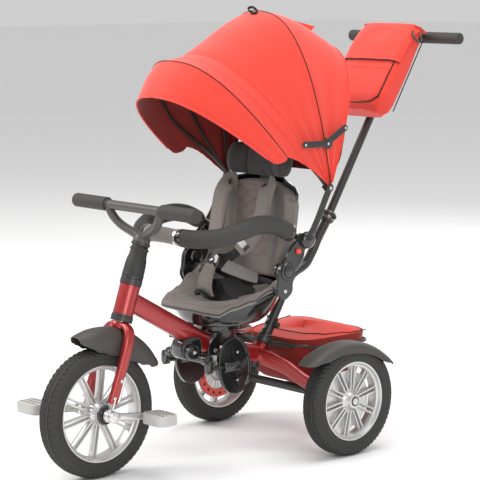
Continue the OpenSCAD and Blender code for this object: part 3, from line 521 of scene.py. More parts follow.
def stitches(shape, path, slot, length=3.2, gap=2.0, radius=0.45):
    """Row of separate thread stitches along a path in metres."""
    total, marks = 0.0, [0.0]
    for a, b in zip(path, path[1:]):
        total += (b - a).length
        marks.append(total)

    def point(s):
        for i in range(1, len(path)):
            if marks[i] >= s:
                span = marks[i] - marks[i - 1]
                t = (s - marks[i - 1]) / span if span else 0
                return path[i - 1].lerp(path[i], t)
        return path[-1]

    s, step = 0.0, (length + gap) * MM
    while s + length * MM < total:
        a, b = point(s), point(s + length * MM)
        if (b - a).length > 1e-6:
            up = Vector((0, 0, 1)) if abs((b - a).normalized().z) < 0.9 else Vector((1, 0, 0))
            shape.sweep([a, a.lerp(b, 0.25), a.lerp(b, 0.75), b], oval(radius, radius, 6), up, slot,
                        True, lambda t: 0.45 if t in (0, 1) else 1.0)
        s += step
    return shape


# ------------------------------------------------------------------ wheels

CLOTH_RED = (0.78, 0.055, 0.035)
FRAME_RED = (0.36, 0.012, 0.012)
SEAT_TAUPE = (0.25, 0.226, 0.207)
AXIS_X = Vector((1, 0, 0))
TREAD = [
    (-18, -36), (-21.5, -34.5), (-24, -31), (-25, -26), (-25.2, -21), (-24.6, -20.4), (-24.6, -19.6),
    (-25, -19), (-24.8, -14), (-24.2, -10.5), (-23.6, -8.6), (-22, -5.6), (-20, -3.4), (-17.5, -1.6),
    (-14.5, -0.5), (-13.6, -2.4), (-12.4, -2.4), (-11.6, 0), (-8, 0), (-4.6, 0), (-4, -2.2), (-2.8, -2.2),
    (-2.2, 0), (0, 0),
]


def build_tyres():
    """Foam tyres with ribbed sidewalls and a blocked tread."""
    depth = bpy.context.scene.tricycle_sizes.tread_depth / MM
    profile = TREAD + [(-a, d) for a, d in reversed(TREAD[:-1])]
    for name, centre, radius, body in (
        ("front_tyre", at(0, 0, FRONT_R), FRONT_R, "front_wheel"),
        ("rear_tyre_left", at(TRACK, WHEELBASE, REAR_R), REAR_R, "rear_wheel_left"),
        ("rear_tyre_right", at(-TRACK, WHEELBASE, REAR_R), REAR_R, "rear_wheel_right"),
    ):
        blocks = 64
        steps = blocks * 6

        def ripple(along, r, k, radius=radius):
            v = abs(along)
            if 14 < v < 24.3 and r > radius - 12:
                return -depth if (k + round((v - 14) * 0.35)) % 6 < 2 else 0
            if 4.5 < v < 13 and r > radius - 1:
                return -depth * 0.7 if (k + round(v * 0.5) + 3) % 6 == 0 else 0
            if v < 3 and r > radius - 1:
                return -depth * 0.6 if k % 6 == 0 else 0
            return 0

        shape = Shape().lathe(
            [(a, radius + d) for a, d in profile], centre, AXIS_X, steps, 0, False, ripple
        )
        inner = [(profile[-1][0], radius - 36), (profile[0][0], radius - 36)]
        shape.lathe(inner, centre, AXIS_X, steps, 0, False)
        make(name + "_tread", shape, "tyre rubber", body, name, 32, weld=True)


def spoke(shape, centre, angle, skew, inner, outer, face, wide0, wide1, slot=0):
    """One flat cast spoke from hub to rim, crowned on both faces."""
    w = math.radians(angle)
    out = Vector((0, math.sin(w), math.cos(w)))
    side = Vector((0, math.cos(w), -math.sin(w)))
    rows = []
    for t in (0, 0.06, 0.3, 0.6, 0.9, 1):
        r = lerp(inner, outer, t)
        off = lerp(skew[0], skew[1], t)
        half = lerp(wide0, wide1, t) / 2 + (1.6 * max(0, t - 0.85) / 0.15 if t > 0.85 else 0)
        depth = lerp(8.5, 6.0, t)
        p = centre + out * r * MM + side * off * MM + AXIS_X * face * lerp(2.0, 0.5, t) * MM
        ring = [
            p + side * u * half * MM + AXIS_X * v * depth * MM
            for u, v in ((-1, -0.7), (-0.6, -1), (0.6, -1), (1, -0.7), (1, 0.7), (0.6, 1), (-0.6, 1), (-1, 0.7))
        ]
        rows.append(ring)
    shape.loft(rows, slot)


def rim_shape(centre, radius, outside, cap):
    """Cast rim with paired spokes; outside is the side that shows."""
    pairs = bpy.context.scene.tricycle_sizes.spokes
    ro = radius - 36.05
    s = Shape()
    half = [(19.5, ro + 0.9), (20.4, ro + 0.2), (20.4, ro - 1.8), (19.6, ro - 3.4), (17, ro - 4.6),
            (13.5, ro - 6.2), (11.5, ro - 9.8), (8, ro - 10.6)]
    ring = half + [(-a, r) for a, r in reversed(half)] + [(-19.5, ro - 0.2), (19.5, ro - 0.2)]
    s.lathe(ring + ring[:1], centre, AXIS_X, 128, 0, False)
    hub = 24
    for i in range(pairs):
        for k in (-1, 1):
            spoke(s, centre, i * 360 / pairs + 8, (k * 4.2, k * 5.6), hub - 6, ro - 7, outside, 5.4, 4.4)
    prof = [
        (-23, 7), (-23, 15), (-21, 17.5), (-14, 19), (-9, hub + 1), (-5, hub + 3), (5, hub + 3),
        (9, hub + 2.4), (13, 21), (20, 17.6), (22.4, 16.4), (23, 14.6), (23, 7),
    ]
    s.lathe([(a * outside, r) for a, r in prof], centre, AXIS_X, 64, 0, True)
    for i in range(5):
        w = math.radians(i * 72 + 20)
        p = centre + Vector((outside * 9.6 * MM, math.sin(w) * 22.2 * MM, math.cos(w) * 22.2 * MM))
        s.bolt(p, AXIS_X * outside, 2.6, 2.2, 1)
    if cap:
        backing = ((-3.6, 24), (-3.6, 67.5), (-5.2, 67.5), (-5.2, 24))
        s.lathe([(a * outside, r) for a, r in backing], centre, AXIS_X, 96, 0, False)
        face = centre + AXIS_X * outside * 22.8 * MM
        s.lathe([(0, 11.5), (1.4, 11.2), (2.0, 10.2), (1.6, 9.4), (1.4, 8.6)], face, AXIS_X * outside, 40, 1)
        s.lathe([(1.2, 8.2), (2.2, 7.8), (2.8, 5), (3.0, 0.2)], face, AXIS_X * outside, 32, 0)
    return s


def build_rims():
    """Silver rims, the hub's clutch disc and the red brake rings."""
    make("front_rim_cast", rim_shape(at(0, 0, FRONT_R), FRONT_R, LEFT, False),
         ["silver", "gloss black"], "front_wheel", "front_rim", 30)
    for side, word in SIDES:
        centre = at(side * TRACK, WHEELBASE, REAR_R)
        make("rear_rim_cast_" + word, rim_shape(centre, REAR_R, side, True),
             ["silver", "gloss black"], "rear_wheel_" + word, "rear_rim_" + word, 30)
        ring = Shape()
        start = centre - AXIS_X * side * 6.2 * MM
        holes, r0, r1, thick, bevel = 18, 47, 66, 3.2, 0.6
        edge = [(0, r0), (0, r1 - bevel), (bevel, r1), (thick - bevel, r1), (thick, r1 - bevel), (thick, r0),
                (0, r0)]
        ring.lathe(edge, start, -AXIS_X * side, holes * 8, 0, False)
        # The ring's holes are drawn as thin matt black discs on its face: painted shade in place of openings.
        for i in range(holes):
            w = 2 * math.pi * i / holes
            p = start - AXIS_X * side * (thick + 0.1) * MM + Vector((0, math.sin(w), math.cos(w))) * 56.5 * MM
            ring.lathe([(0, 3.9), (0.25, 3.6), (0.2, 0.2)], p, -AXIS_X * side, 14, 1)
        make("brake_disc_" + word, ring, ["bright red", "matt black"], "rear_wheel_" + word,
             "brake_ring_" + word, 30)
    face = at(28.3, 0, FRONT_R)
    disc = Shape().lathe(
        [(0.2, 7.2), (0.2, 20), (1, 21.4), (4.6, 21.4), (6, 20.4), (6.4, 18.6), (5.4, 17.4), (5.2, 15.4),
         (6.2, 14.2), (6.4, 8), (6.0, 7.2)],
        face, AXIS_X, 64, 0, False,
    )
    teeth, tooth_r = 16, 21
    for i in range(teeth):
        w = 2 * math.pi * i / teeth
        p = face + Vector((3.4, math.sin(w) * tooth_r, math.cos(w) * tooth_r)) * MM
        disc.sweep([p - AXIS_X * 2.4 * MM, p + AXIS_X * 2.2 * MM], oval(1.1, 1.1, 8), (0, 0, 1), 0)
    make("clutch_disc", disc, "gloss black", "clutch", "clutch_knob")


def crank_end(side):
    """Place of a pedal's spindle, behind the front axle and above the floor."""
    low = middle("pedal_left" if side > 0 else "pedal_right")
    return (low.y - AXLE_Y) / MM, low.z / MM


def build_cranks():
    """Forged crank arms, spindles and moulded pedals."""
    s = Shape()
    s.tube([(-66, 0, FRONT_R), (66, 0, FRONT_R)], 6.9, 24, 0, (0, 0, 1), 1)
    for side, word in SIDES:
        y, z = crank_end(side)
        path = [at(side * x, y * t, FRONT_R + (z - FRONT_R) * t) for x, t in
                ((60, 0), (59, 0.08), (60, 0.25), (62, 0.6), (63, 0.86), (63, 1.0))]
        s.sweep(smooth_path(path, 5), oval(9.5, 5, 20, 2.6), AXIS_X, 0, True,
                lambda t: (1.25 if t < 0.06 else lerp(1.0, 0.74, t) + (0.18 if t > 0.93 else 0), 1.0))
        for cy, cz, r in ((0, FRONT_R, 13.5), (y, z, 9.5)):
            s.lathe([(-6, r - 1), (-5, r), (4.5, r), (6, r - 1.6), (6.6, r * 0.5), (6.2, r * 0.3)],
                    at(side * 61.5, cy, cz), AXIS_X * side, 40, 0)
        s.tube([(side * 62, y, z), (side * 137, y, z)], 4.4, 16, 0, (0, 0, 1), 0.6)
        s.bolt(at(side * 68, 0, FRONT_R), AXIS_X * side, 6, 2.6, 0)
        build_pedal(side, word, y, z)
    make("crank_arms", s, "zinc", "cranks", "crank")


def build_pedal(side, word, y, z):
    """Light grey pedal block with rows of square sockets on its treads."""
    s = Shape()
    low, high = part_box("pedal_" + word)
    x0, x1 = low[0] / MM, high[0] / MM
    cx, half_w, half_l = (x0 + x1) / 2, (x1 - x0) / 2, 27
    rings = []
    for k, h in ((0.9, -12), (0.975, -11.2), (1, -9.4), (1, 9.4), (0.975, 11.2), (0.9, 12)):
        rings.append([at(cx + half_w * blunt(math.cos(w), 5) * (k if k < 1 else 1),
                         y + half_l * blunt(math.sin(w), 3.2) * k, z + h)
                      for w in [2 * math.pi * (i + 0.5) / 56 for i in range(56)]])
    s.loft(rings)
    # Each socket is a thin matt black square raised off the tread: painted shade standing for the hole.
    for face in (-1, 1):
        for row in (-1, 0, 1):
            for i in range(6 if row else 5):
                px = cx + (i - (2.5 if row else 2)) * 10.2
                py = y + row * 13.5
                s.loft([[at(px + a * half, py + b * half, z + face * h)
                         for a, b in ((-1, -1), (1, -1), (1, 1), (-1, 1))]
                        for half, h in ((2.9, 11.6), (2.5, 12.25))], 1)
        for row in (-1, 1):
            s.tube([(x0 + 9, y + row * 6.7, z + face * 12), (x1 - 9, y + row * 6.7, z + face * 12)], 0.9, 8)
    s.lathe([(0, 8), (3, 7.4), (3.6, 5)], at(cx - side * (half_w - 0.2), y, z), -AXIS_X * side, 28, 0)
    make("pedal_block_" + word, s, ["pedal grey", "matt black"], "pedal_" + word[0], "pedal_" + word)


# ------------------------------------------------------------------ frame

COLUMN_LEAN = math.radians(19)
S_AXIS = Vector((0, math.sin(COLUMN_LEAN), math.cos(COLUMN_LEAN)))
S_BACK = Vector((0, math.cos(COLUMN_LEAN), -math.sin(COLUMN_LEAN)))
STEER_FOOT = (0, 3, 142)


def steer(x, y, s):
    """Point in the steering column's own frame: across, behind, up the column."""
    return at(*STEER_FOOT) + (Vector((x, 0, 0)) + S_BACK * y + S_AXIS * s) * MM


TUBE_PATH = ((90, 378.8), (180, 328.1), (250, 288.7), (296, 263.6), (326, 249.5), (350, 241.6), (400, 228),
             (462, 211.5))


def build_frame():
    """Red head tube, oval main tube and rear beam."""
    s = Shape()
    pts = smooth_path([at(0, *p) for p in TUBE_PATH], 4)
    s.sweep(pts, oval(15, 22, 40, 3.0), AXIS_X.cross(Vector((0, 1, 0))), 0)
    s.lathe([(219.2, 21.5), (219.2, 23), (221.5, 23), (283, 23), (284.8, 23), (284.8, 21.5)],
            at(*STEER_FOOT), S_AXIS, 64, 0, False)
    s.lathe([(219.2, 21.5), (284.8, 21.5)], at(*STEER_FOOT), S_AXIS, 64, 0, False)
    bead = 23.5
    for z in (221.5, 282.5):
        s.lathe([(z - 1.6, bead - 0.8), (z - 1, bead), (z + 1, bead), (z + 1.6, bead - 0.8)],
                at(*STEER_FOOT), S_AXIS, 64, 0, False)
    make("main_tube_painted", s, "candy red", "frame", "main_tube", 40)

    beam = Shape()
    half = [(0, 470, 207), (38, 481, 199), (76, 498, 184), (108, 512, 162), (146, 529, 142), (183, 544.5, 127.5)]
    full = [(-x, y, z) for x, y, z in reversed(half[1:])] + half
    path = smooth_path([at(*p) for p in full], 6)
    beam.sweep(path, oval(19, 13.5, 36, 2.8), (0, 1, 0), 0, True,
               lambda t: lerp(0.84, 1.0, ease(1 - abs(t - 0.5) * 2)))
    for side in (LEFT, RIGHT):
        beam.lathe([(-9, 15), (-8, 17), (7.5, 17), (9, 15.5), (9, 7)], at(side * 188, WHEELBASE, REAR_R),
                   AXIS_X * side, 40, 0)
    beam.tube([(0, 462, 192), (0, 486.4, 231)], 17, 32, 0, (0, 1, 0), 1)
    make("rear_beam_painted", beam, "candy red", "frame", "rear_beam", 40)

    caps = Shape()
    for s0, s1 in ((203, 219), (285, 302)):
        caps.lathe([(s0 + 0.3, 19), (s0 + 0.3, 23.2), (s0 + 1.2, 24.4), (s1 - 5, 24.5), (s1 - 4.4, 23.7),
                    (s1 - 3.6, 23.7), (s1 - 3, 24.5), (s1 - 1.2, 24.3), (s1 - 0.3, 23.4), (s1 - 0.3, 19)],
                   at(*STEER_FOOT), S_AXIS, 64)
    make("head_bearings", caps, "satin black", "frame", "head_caps")


def build_fork():
    """Red fork with flat legs, silver backing plates, rivets and dropouts."""
    s = Shape()
    s.lathe([(186, 14), (187, 19), (190, 21), (200, 21), (202, 19.5), (202.4, 15.6)],
            at(*STEER_FOOT), S_AXIS, 48)
    for side in (LEFT, RIGHT):
        path = [steer(side * x, y, h) for x, y, h in
                ((3, 0, 193), (17, 0, 195), (31, 0, 189), (39.5, 0, 176), (43, 0, 156), (43, 0, 110),
                 (43, -1, 62), (43, -2, 34), (43, -2, 26))]
        s.sweep(smooth_path(path, 5), oval(8.6, 12.6, 32, 2.8), S_BACK, 0, True,
                lambda t: lerp(1.0, 0.94, t) if t < 0.97 else 0.88)
        plate = [steer(side * 43.2, y, h) for y, h in ((9.5, 88), (10.5, 70), (10.5, 46), (9.5, 30))]
        s.sweep(smooth_path(plate, 4), oval(7.6, 4.4, 18, 3), S_BACK, 1, True)
        for h, y in ((78, 2), (38, -5)):
            s.bolt(steer(side * 51.2, y, h), AXIS_X * side, 4.2, 2.4, 1)
        drop = [steer(side * 43, y, h) for y, h in ((-2, 34), (-2.4, 18), (-3.2, 6), (-3, 0))]
        s.sweep(smooth_path(drop, 4), oval(9.5, 3.6, 24, 3), S_BACK, 1, True,
                lambda t: (lerp(0.9, 1.35, ease(t)), 1))
        s.lathe([(-4.5, 12), (-3.6, 14.5), (3.6, 14.5), (5.2, 12.8), (6.8, 11), (6.8, 8)],
                at(side * 45, 0, FRONT_R), AXIS_X * side, 40, 1)
    s.tube([steer(0, 0, 190), steer(0, 0, 385)], 15.9, 32, 1, (0, 1, 0))
    make("fork_painted", s, ["candy red", "zinc"], "steering", "fork", 40)

    sleeve = Shape().lathe(
        [(302.6, 17), (302.6, 23.6), (304, 24.2), (309, 24.4), (310.5, 23.6), (312, 23.8), (330, 23.2),
         (343, 21.8), (349, 20.2), (352, 19.6), (353.5, 19.4), (363, 19.2), (364.5, 20.6), (366, 21.4),
         (367.5, 21.2), (368, 19), (370, 18.2), (374, 17.4), (374, 16.2)], at(*STEER_FOOT), S_AXIS, 64, 0)
    for k in (-1, 1):
        sleeve.sweep([steer(k * 6, 23.2, 314), steer(k * 6, 22.6, 342)], oval(1.2, 1.2, 8), AXIS_X, 0)
    sleeve.tube([steer(20, 2, 371), steer(25, 2, 372)], 1.6, 10, 0, (0, 0, 1))
    make("column_sleeve", sleeve, "matt black", "steering", "steering_sleeve")

    fender = Shape()
    rows = []
    for i in range(45):
        t = i / 44
        w = math.radians(lerp(-18.5, 61.5, t))
        crown = lerp(184.5, 190, t) + 2.5 * math.sin(t * math.pi)
        lip = table([(0, 173), (0.03, 164), (0.08, 153), (0.17, 140), (0.34, 131), (0.62, 130), (0.8, 141),
                     (0.92, 158), (1, 177)], t)
        wide = 29.3 * table([(0, 0.58), (0.03, 0.76), (0.08, 0.9), (0.16, 1), (0.85, 1), (0.95, 0.9), (1, 0.6)], t)
        side_share = min(1, (crown - 158) / (crown - lip))
        row = []
        for k in range(25):
            u = k / 12 - 1
            a = abs(u)
            sgn = 1 if u >= 0 else -1
            phi = min(1, a / 0.7) * math.pi / 2
            x = wide * math.sin(phi) ** 0.92
            fall = side_share * (1 - math.cos(phi) ** 0.9) if a < 0.7 else lerp(side_share, 1, (a - 0.7) / 0.3)
            r = crown - (crown - lip) * fall
            row.append(at(sgn * x, r * math.sin(w), FRONT_R + r * math.cos(w)))
        rows.append(row)
    fender.sheet(rows, 2.4)
    for edge in (0, 24):
        path = [rows[i][edge] for i in range(2, 43)]
        fender.sweep(path, oval(1.5, 1.5, 8), AXIS_X, 0)
    make("front_mudguard", fender, "dark grey plastic", "steering", "front_fender", 50)


def build_rear_fenders():
    """Crowned rear mudguards with turned lips and a bracket each."""
    for side, word in SIDES:
        s = Shape()
        rows = []
        for i in range(49):
            t = i / 48
            w = math.radians(lerp(-35.6, 47, t))
            crown = 207 + 1.5 * math.sin(t * math.pi)
            half = 31 * table([(0, 0.5), (0.03, 0.78), (0.1, 0.97), (0.2, 1), (0.9, 1), (0.97, 0.86), (1, 0.6)], t)
            drop = table([(0, 3), (0.06, 10), (0.2, 21), (0.5, 24), (0.85, 21), (1, 6)], t)
            row = []
            for k in range(21):
                u = k / 10 - 1
                x = half * (1 - (1 - abs(u)) ** 1.7) * (1 if u > 0 else -1)
                r = crown - drop * abs(u) ** 2.6
                row.append(at(side * TRACK + x, 524 + r * math.sin(w), 56 + r * math.cos(w)))
            rows.append(row)
        s.sheet(rows, 2.4)
        for edge in (0, 20):
            s.sweep([rows[i][edge] for i in range(1, 48)], oval(1.6, 1.6, 8), AXIS_X, 0)
        inner = at(side * 190, 545, 140)
        stay = [inner, at(side * 190, 540, 190), at(side * 194, 528, 232), at(side * 206, 524, 250)]
        s.sweep(smooth_path(stay, 5), oval(9, 2.6, 16, 3), AXIS_X, 0)
        make("rear_mudguard_" + word, s, "dark grey plastic", "frame", "rear_fender_" + word, 50)


# ------------------------------------------------------------------ bars

BAR_S, BAR_AHEAD, BAR_HALF = 449, 41.5, 207


def build_handlebar():
    """Handlebar with its two curved struts, stem head and foam grips."""
    s = Shape()
    bar = [steer(x, -BAR_AHEAD, BAR_S) for x in (-200, -120, -60, 0, 60, 120, 200)]
    s.sweep(bar, oval(10.5, 10.5, 32), S_AXIS, 0)
    half = [(-88, -BAR_AHEAD + 1, BAR_S - 2), (-84, -37, BAR_S - 14), (-72, -28, BAR_S - 28),
            (-52, -18, BAR_S - 40), (-28, -9, BAR_S - 48), (-12, -4, BAR_S - 54), (0, -2, BAR_S - 60)]
    for k in (1, -1):
        path = smooth_path([steer(x * k, y, h) for x, y, h in half], 5)
        s.sweep(path, oval(9.2, 10.5, 28, 2.2), S_BACK, 0, True, lambda t: lerp(0.92, 1.12, t))
    s.lathe([(373.8, 16.4), (374, 19), (376, 19.6), (394, 19), (398, 17), (401, 11), (402, 3)],
            at(*STEER_FOOT), S_AXIS, 48, 0, False)
    s.lathe([(373.8, 16.1), (386, 16.1)], at(*STEER_FOOT), S_AXIS, 48, 0, False)
    s.lathe([(375, 20.6), (375.6, 21.2), (379.4, 21.2), (380, 20.6)], at(*STEER_FOOT), S_AXIS, 48, 1, False)
    s.bolt(steer(0, 19.5, 388), S_BACK, 4, 3, 1)
    make("handlebar_tube", s, ["grey powder coat", "satin black"], "steering", "handlebar")
    for side, word in SIDES:
        g = Shape()
        end, start = BAR_HALF, BAR_HALF - 112
        prof = [(start, 10.6), (start, 14.4), (start + 1, 15.4)]
        prof += [(start + 3 + i * 2, 15.5) for i in range(52)]
        prof += [(end - 2.2, 15.5), (end - 0.8, 14.9), (end, 13.4), (end + 0.1, 6), (end + 0.1, 0.4)]
        middle_of_bar = steer(0, -BAR_AHEAD, BAR_S)
        g.lathe(prof, middle_of_bar, AXIS_X * side, 56)
        k = start - 4.6
        g.lathe([(k, 10.7), (k + 0.4, 12.6), (k + 3.8, 12.6), (k + 4.2, 10.7)], middle_of_bar, AXIS_X * side, 40)
        make("handle_grip_" + word, g, "foam", "steering", "grip_" + word)


GUARD_HALF = ((0, 190, 514), (50, 194, 512), (96, 210, 511), (134, 244, 516), (152, 290, 529),
              (150.4, 340, 537), (153.4, 385, 531), (155.4, 424, 514))
GUARD_PIVOT = (467, 494)


def build_guard():
    """Padded guard bar: foam halves, centre cover, clips and end joints."""
    full = [(-x, y, z) for x, y, z in GUARD_HALF[:0:-1]] + list(GUARD_HALF)
    path = smooth_path([at(*p) for p in full], 8)
    mid = len(path) // 2
    foam = Shape()
    for part in (path[mid + 10:], path[:mid - 9][::-1]):
        m = len(part) - 1
        foam.sweep([part[0]] + part, oval(20.4, 20.4, 36), (0, 0, 1), 0, True,
                   lambda t: 0.86 if t in (0, 1) else (0.97 if t < 1.5 / m or t > 1 - 1.5 / m else 1.0))
    sleeves = make("guard_foam_sleeves", foam, "foam", "guard", "guard_foam")
    s = Shape()
    cover = path[mid - 9:mid + 10]
    s.sweep(cover, oval(18, 17.4, 36), (0, 0, 1), 1, True, lambda t: 0.9 if t in (0, 1) else 1)
    for a, b in ((mid - 11, mid - 8), (mid + 8, mid + 11)):
        s.sweep(path[a:b + 1], oval(20.2, 20.2, 40), (0, 0, 1), 0, True,
                lambda t: 0.93 if t in (0, 1) else 1)
    for a in (mid - 7, mid + 7):
        s.sweep(path[a:a + 2] if a > mid else path[a - 1:a + 1], oval(18.8, 18.8, 36), (0, 0, 1), 2, True)
    for side in (LEFT, RIGHT):
        tail = smooth_path([at(side * x, y, z) for x, y, z in
                            ((155.4, 420, 515), (151, 433, 511), (148.6, 444, 506), (148.4, 456, 499))], 5)
        s.sweep(tail, oval(7, 7, 20), (0, 0, 1), 0)
        p = at(side * 155.4, 424, 514)
        d = (at(side * 155.4, 424, 514) - at(side * 155.4, 410, 520)).normalized()
        s.lathe([(-3, 19.4), (-2, 20.2), (4, 20), (8, 16), (10, 9), (10.4, 1)], p, d, 36, 0)
        s.lathe([(-4, 12), (-3.4, 13.6), (3.4, 13.6), (4, 12), (4, 5.1)],
                at(side * 151.4, *GUARD_PIVOT), AXIS_X, 40)
    make("guard_bar_fittings", s, ["gloss black", "taupe cloth", "zinc"], "guard", "guard_bar")
    for side, word in SIDES:
        b = Shape()
        c = at(side * 163.6, 440, 471)
        b.lathe([(0, 5.9), (9.6, 5.9), (10.6, 5.2), (11, 3.6), (10.4, 2.4), (10.3, 0.3)], c, AXIS_X * side, 28, 0)
        make("release_button_" + word, b, "bright red", "button_" + word, "guard_button_" + word)


# ------------------------------------------------------------------ push handle

PUSH_COLLAR = Vector((0, 702, 514))
PUSH_DIR = Vector((0, 257, 418)).normalized()
PUSH_TOP = PUSH_COLLAR + PUSH_DIR * 490
PUSH_FRONT = Vector((0, -PUSH_DIR.z, PUSH_DIR.y))
STEM_FOOT = Vector((0, 487, 232))
STEM_LEAN = math.radians(31.5)
STEM_DIR = Vector((0, math.sin(STEM_LEAN), math.cos(STEM_LEAN)))


def stem(t, side=0, ahead=0):
    """Point by the push handle's stem: t up it, to the side and in front."""
    p = STEM_FOOT + STEM_DIR * t + Vector((side, -ahead * STEM_DIR.z, ahead * STEM_DIR.y))
    return at(*p)


def on_push(x, ahead, t):
    """Point by the push tube: across, in front of the tube, up from its top."""
    return at(*(PUSH_TOP + Vector((x, 0, 0)) + PUSH_FRONT * ahead + PUSH_DIR * t))


def build_push_handle():
    """Stem socket, bent lower tube, telescoping tube, cross bar and grips."""
    s = Shape()
    s.lathe([(-62, 10), (-62, 12.4), (-61, 13), (60, 13), (62, 14.6), (65, 14.8), (66, 14), (66, 11.2)],
            stem(0), STEM_DIR, 40, 0, False)
    s.lathe([(20, 11.1), (66, 11.2)], stem(0), STEM_DIR, 40, 0, False)
    s.lathe([(13.4, 13.2), (13.6, 16.4), (16, 16.8), (22, 16.2), (24, 13.6)], stem(0), STEM_DIR, 40, 0, False)
    s.bolt(stem(38, 0, 12.4), Vector((0, -STEM_DIR.z, STEM_DIR.y)), 4.6, 2.6, 1)
    s.bolt(stem(56, 0, 12.4), Vector((0, -STEM_DIR.z, STEM_DIR.y)), 4.0, 2.4, 1)
    make("stem_socket", s, ["satin black", "zinc"], "frame", "push_stem")

    low = Shape()
    bend = [(575, 376), (583, 384), (596, 391), (612, 397), (628, 406), (641, 422), (654, 441), (667, 463)]
    route = [stem(t) for t in (21, 70, 120, 160)] + [at(0, y, z) for y, z in bend]
    collar = at(*PUSH_COLLAR)
    route += [at(*(PUSH_COLLAR - PUSH_DIR * 18)), collar]
    low.sweep(smooth_path(route, 5), oval(11, 11, 32), AXIS_X, 0)
    low.lathe([(-17, 11.1), (-16.6, 13.6), (-14, 15.6), (-9, 16.4), (-7, 17.8), (6, 17.8), (7.6, 16.8),
               (8, 12), (8, 9.7)], collar, PUSH_DIR, 44)
    for t in (-10, -6.4, 5):
        low.lathe([(t, 17.6), (t + 0.4, 18.2), (t + 1.0, 18.2), (t + 1.4, 17.6)], collar, PUSH_DIR, 44, 1, False)
    make("push_tube_bent", low, ["satin black", "zinc"], "frame", "push_tube_lower")

    up = Shape()
    tube = [at(*(PUSH_COLLAR + PUSH_DIR * t)) for t in (-24, 0, 120, 300, 482)]
    up.sweep(tube, oval(9.45, 9.45, 32), AXIS_X, 0)
    up.tube([on_push(-177, 0, 0), on_push(177, 0, 0)], 9.4, 28, 0, (0, 0, 1), 1)
    up.lathe([(-24, 14.6), (-22, 15.6), (22, 15.6), (24, 14.6)], on_push(0, 0, 0), AXIS_X, 40, 1)
    up.lathe([(-26, 12.2), (-25, 13), (-12, 13), (-9, 11.6)], on_push(0, 0, -2), PUSH_DIR, 36, 1)
    for side in (LEFT, RIGHT):
        prof = [(26, 9.5), (26.3, 13), (27.4, 13.9)]
        prof += [(29 + i * 2.9, 14.0 - (0.5 if i % 2 else 0)) for i in range(51)]
        prof += [(178, 13.8), (180, 12.8), (181, 10.6), (181, 0.5)]
        up.lathe(prof, on_push(0, 0, 0), AXIS_X * side, 44, 2)
    for t in (-40, -190):
        up.lathe([(t - 9, 9.6), (t - 8.6, 10.8), (t + 8.6, 10.8), (t + 9, 9.6)],
                 at(*PUSH_TOP), PUSH_DIR, 28, 3, False)
        up.sweep([on_push(0, 9, t), on_push(0, 17.5, t)], oval(12, 7, 16, 3), AXIS_X, 3)
    make("push_tube_sliding", up, ["satin black", "gloss black", "foam", "black webbing"], "push_upper",
         "push_tube_upper")
    latch = Shape().lathe([(0, 4.9), (8.6, 4.9), (10, 4.2), (10.5, 2.6), (10.1, 0.3)],
                          at(*(PUSH_COLLAR - PUSH_DIR * 4)) + AXIS_X * 14.6 * MM, AXIS_X, 28)
    make("telescope_button", latch, "satin black", "latch", "push_latch")


# ------------------------------------------------------------------ bag

BAG_W, BAG_H, BAG_D = 92, 236, 72


BAG_SIDES, BAG_FACES = 5.2, 4.2


def bag_size(t):
    """Half width, middle and half depth of the bag t millimetres below its top."""
    f = t / BAG_H
    front = table([(0, 58), (0.1, 66), (0.3, 74), (0.6, 80), (0.85, 82), (0.96, 76), (1, 66)], f)
    rear = table([(0, 22), (0.06, 18), (0.5, 16.5), (0.92, 18), (1, 26)], f)
    share = table([(0, 0.84), (0.05, 0.93), (0.14, 0.97), (0.5, 1.0), (0.84, 0.99), (0.94, 0.93), (1, 0.8)], f)
    return BAG_W * share, (front + rear) / 2, (front - rear) / 2


def bag_slump(x, y, t):
    """How far the bag's cloth stands out of its even shape."""
    sag = noise.noise(Vector((x * 0.018 + 3, y * 0.02, t * 0.016))) * 3.2
    sag += noise.noise(Vector((x * 0.05, y * 0.05 + 9, t * 0.04))) * 1.1
    dip = 2.2 * math.exp(-((t - 232) / 18) ** 2) * math.cos(x * 0.05)
    return (sag - dip) * min(1, t / 20) * min(1, (BAG_H - t) / 10)


def bag_ring(t):
    """Cross-section of the bag t millimetres below its top."""
    wide, mid, half = bag_size(t)
    ring = []
    for k in range(64):
        w = 2 * math.pi * (k + 0.5) / 64
        x = wide * blunt(math.cos(w), BAG_SIDES)
        y = mid + half * blunt(math.sin(w), BAG_FACES)
        y += bag_slump(x, y, t) * (1 if y > mid else 0.3)
        ring.append(on_push(x, y, -t))
    return ring


def bag_front(x, t, lift=0.0):
    """Point on the bag's front face."""
    wide, mid, half = bag_size(t)
    c = min(0.999, abs(x) / wide) ** (BAG_SIDES / 2)
    y = mid + half * math.sqrt(1 - c * c) ** (2 / BAG_FACES)
    return on_push(x, y + bag_slump(x, y, t) + lift, -t)


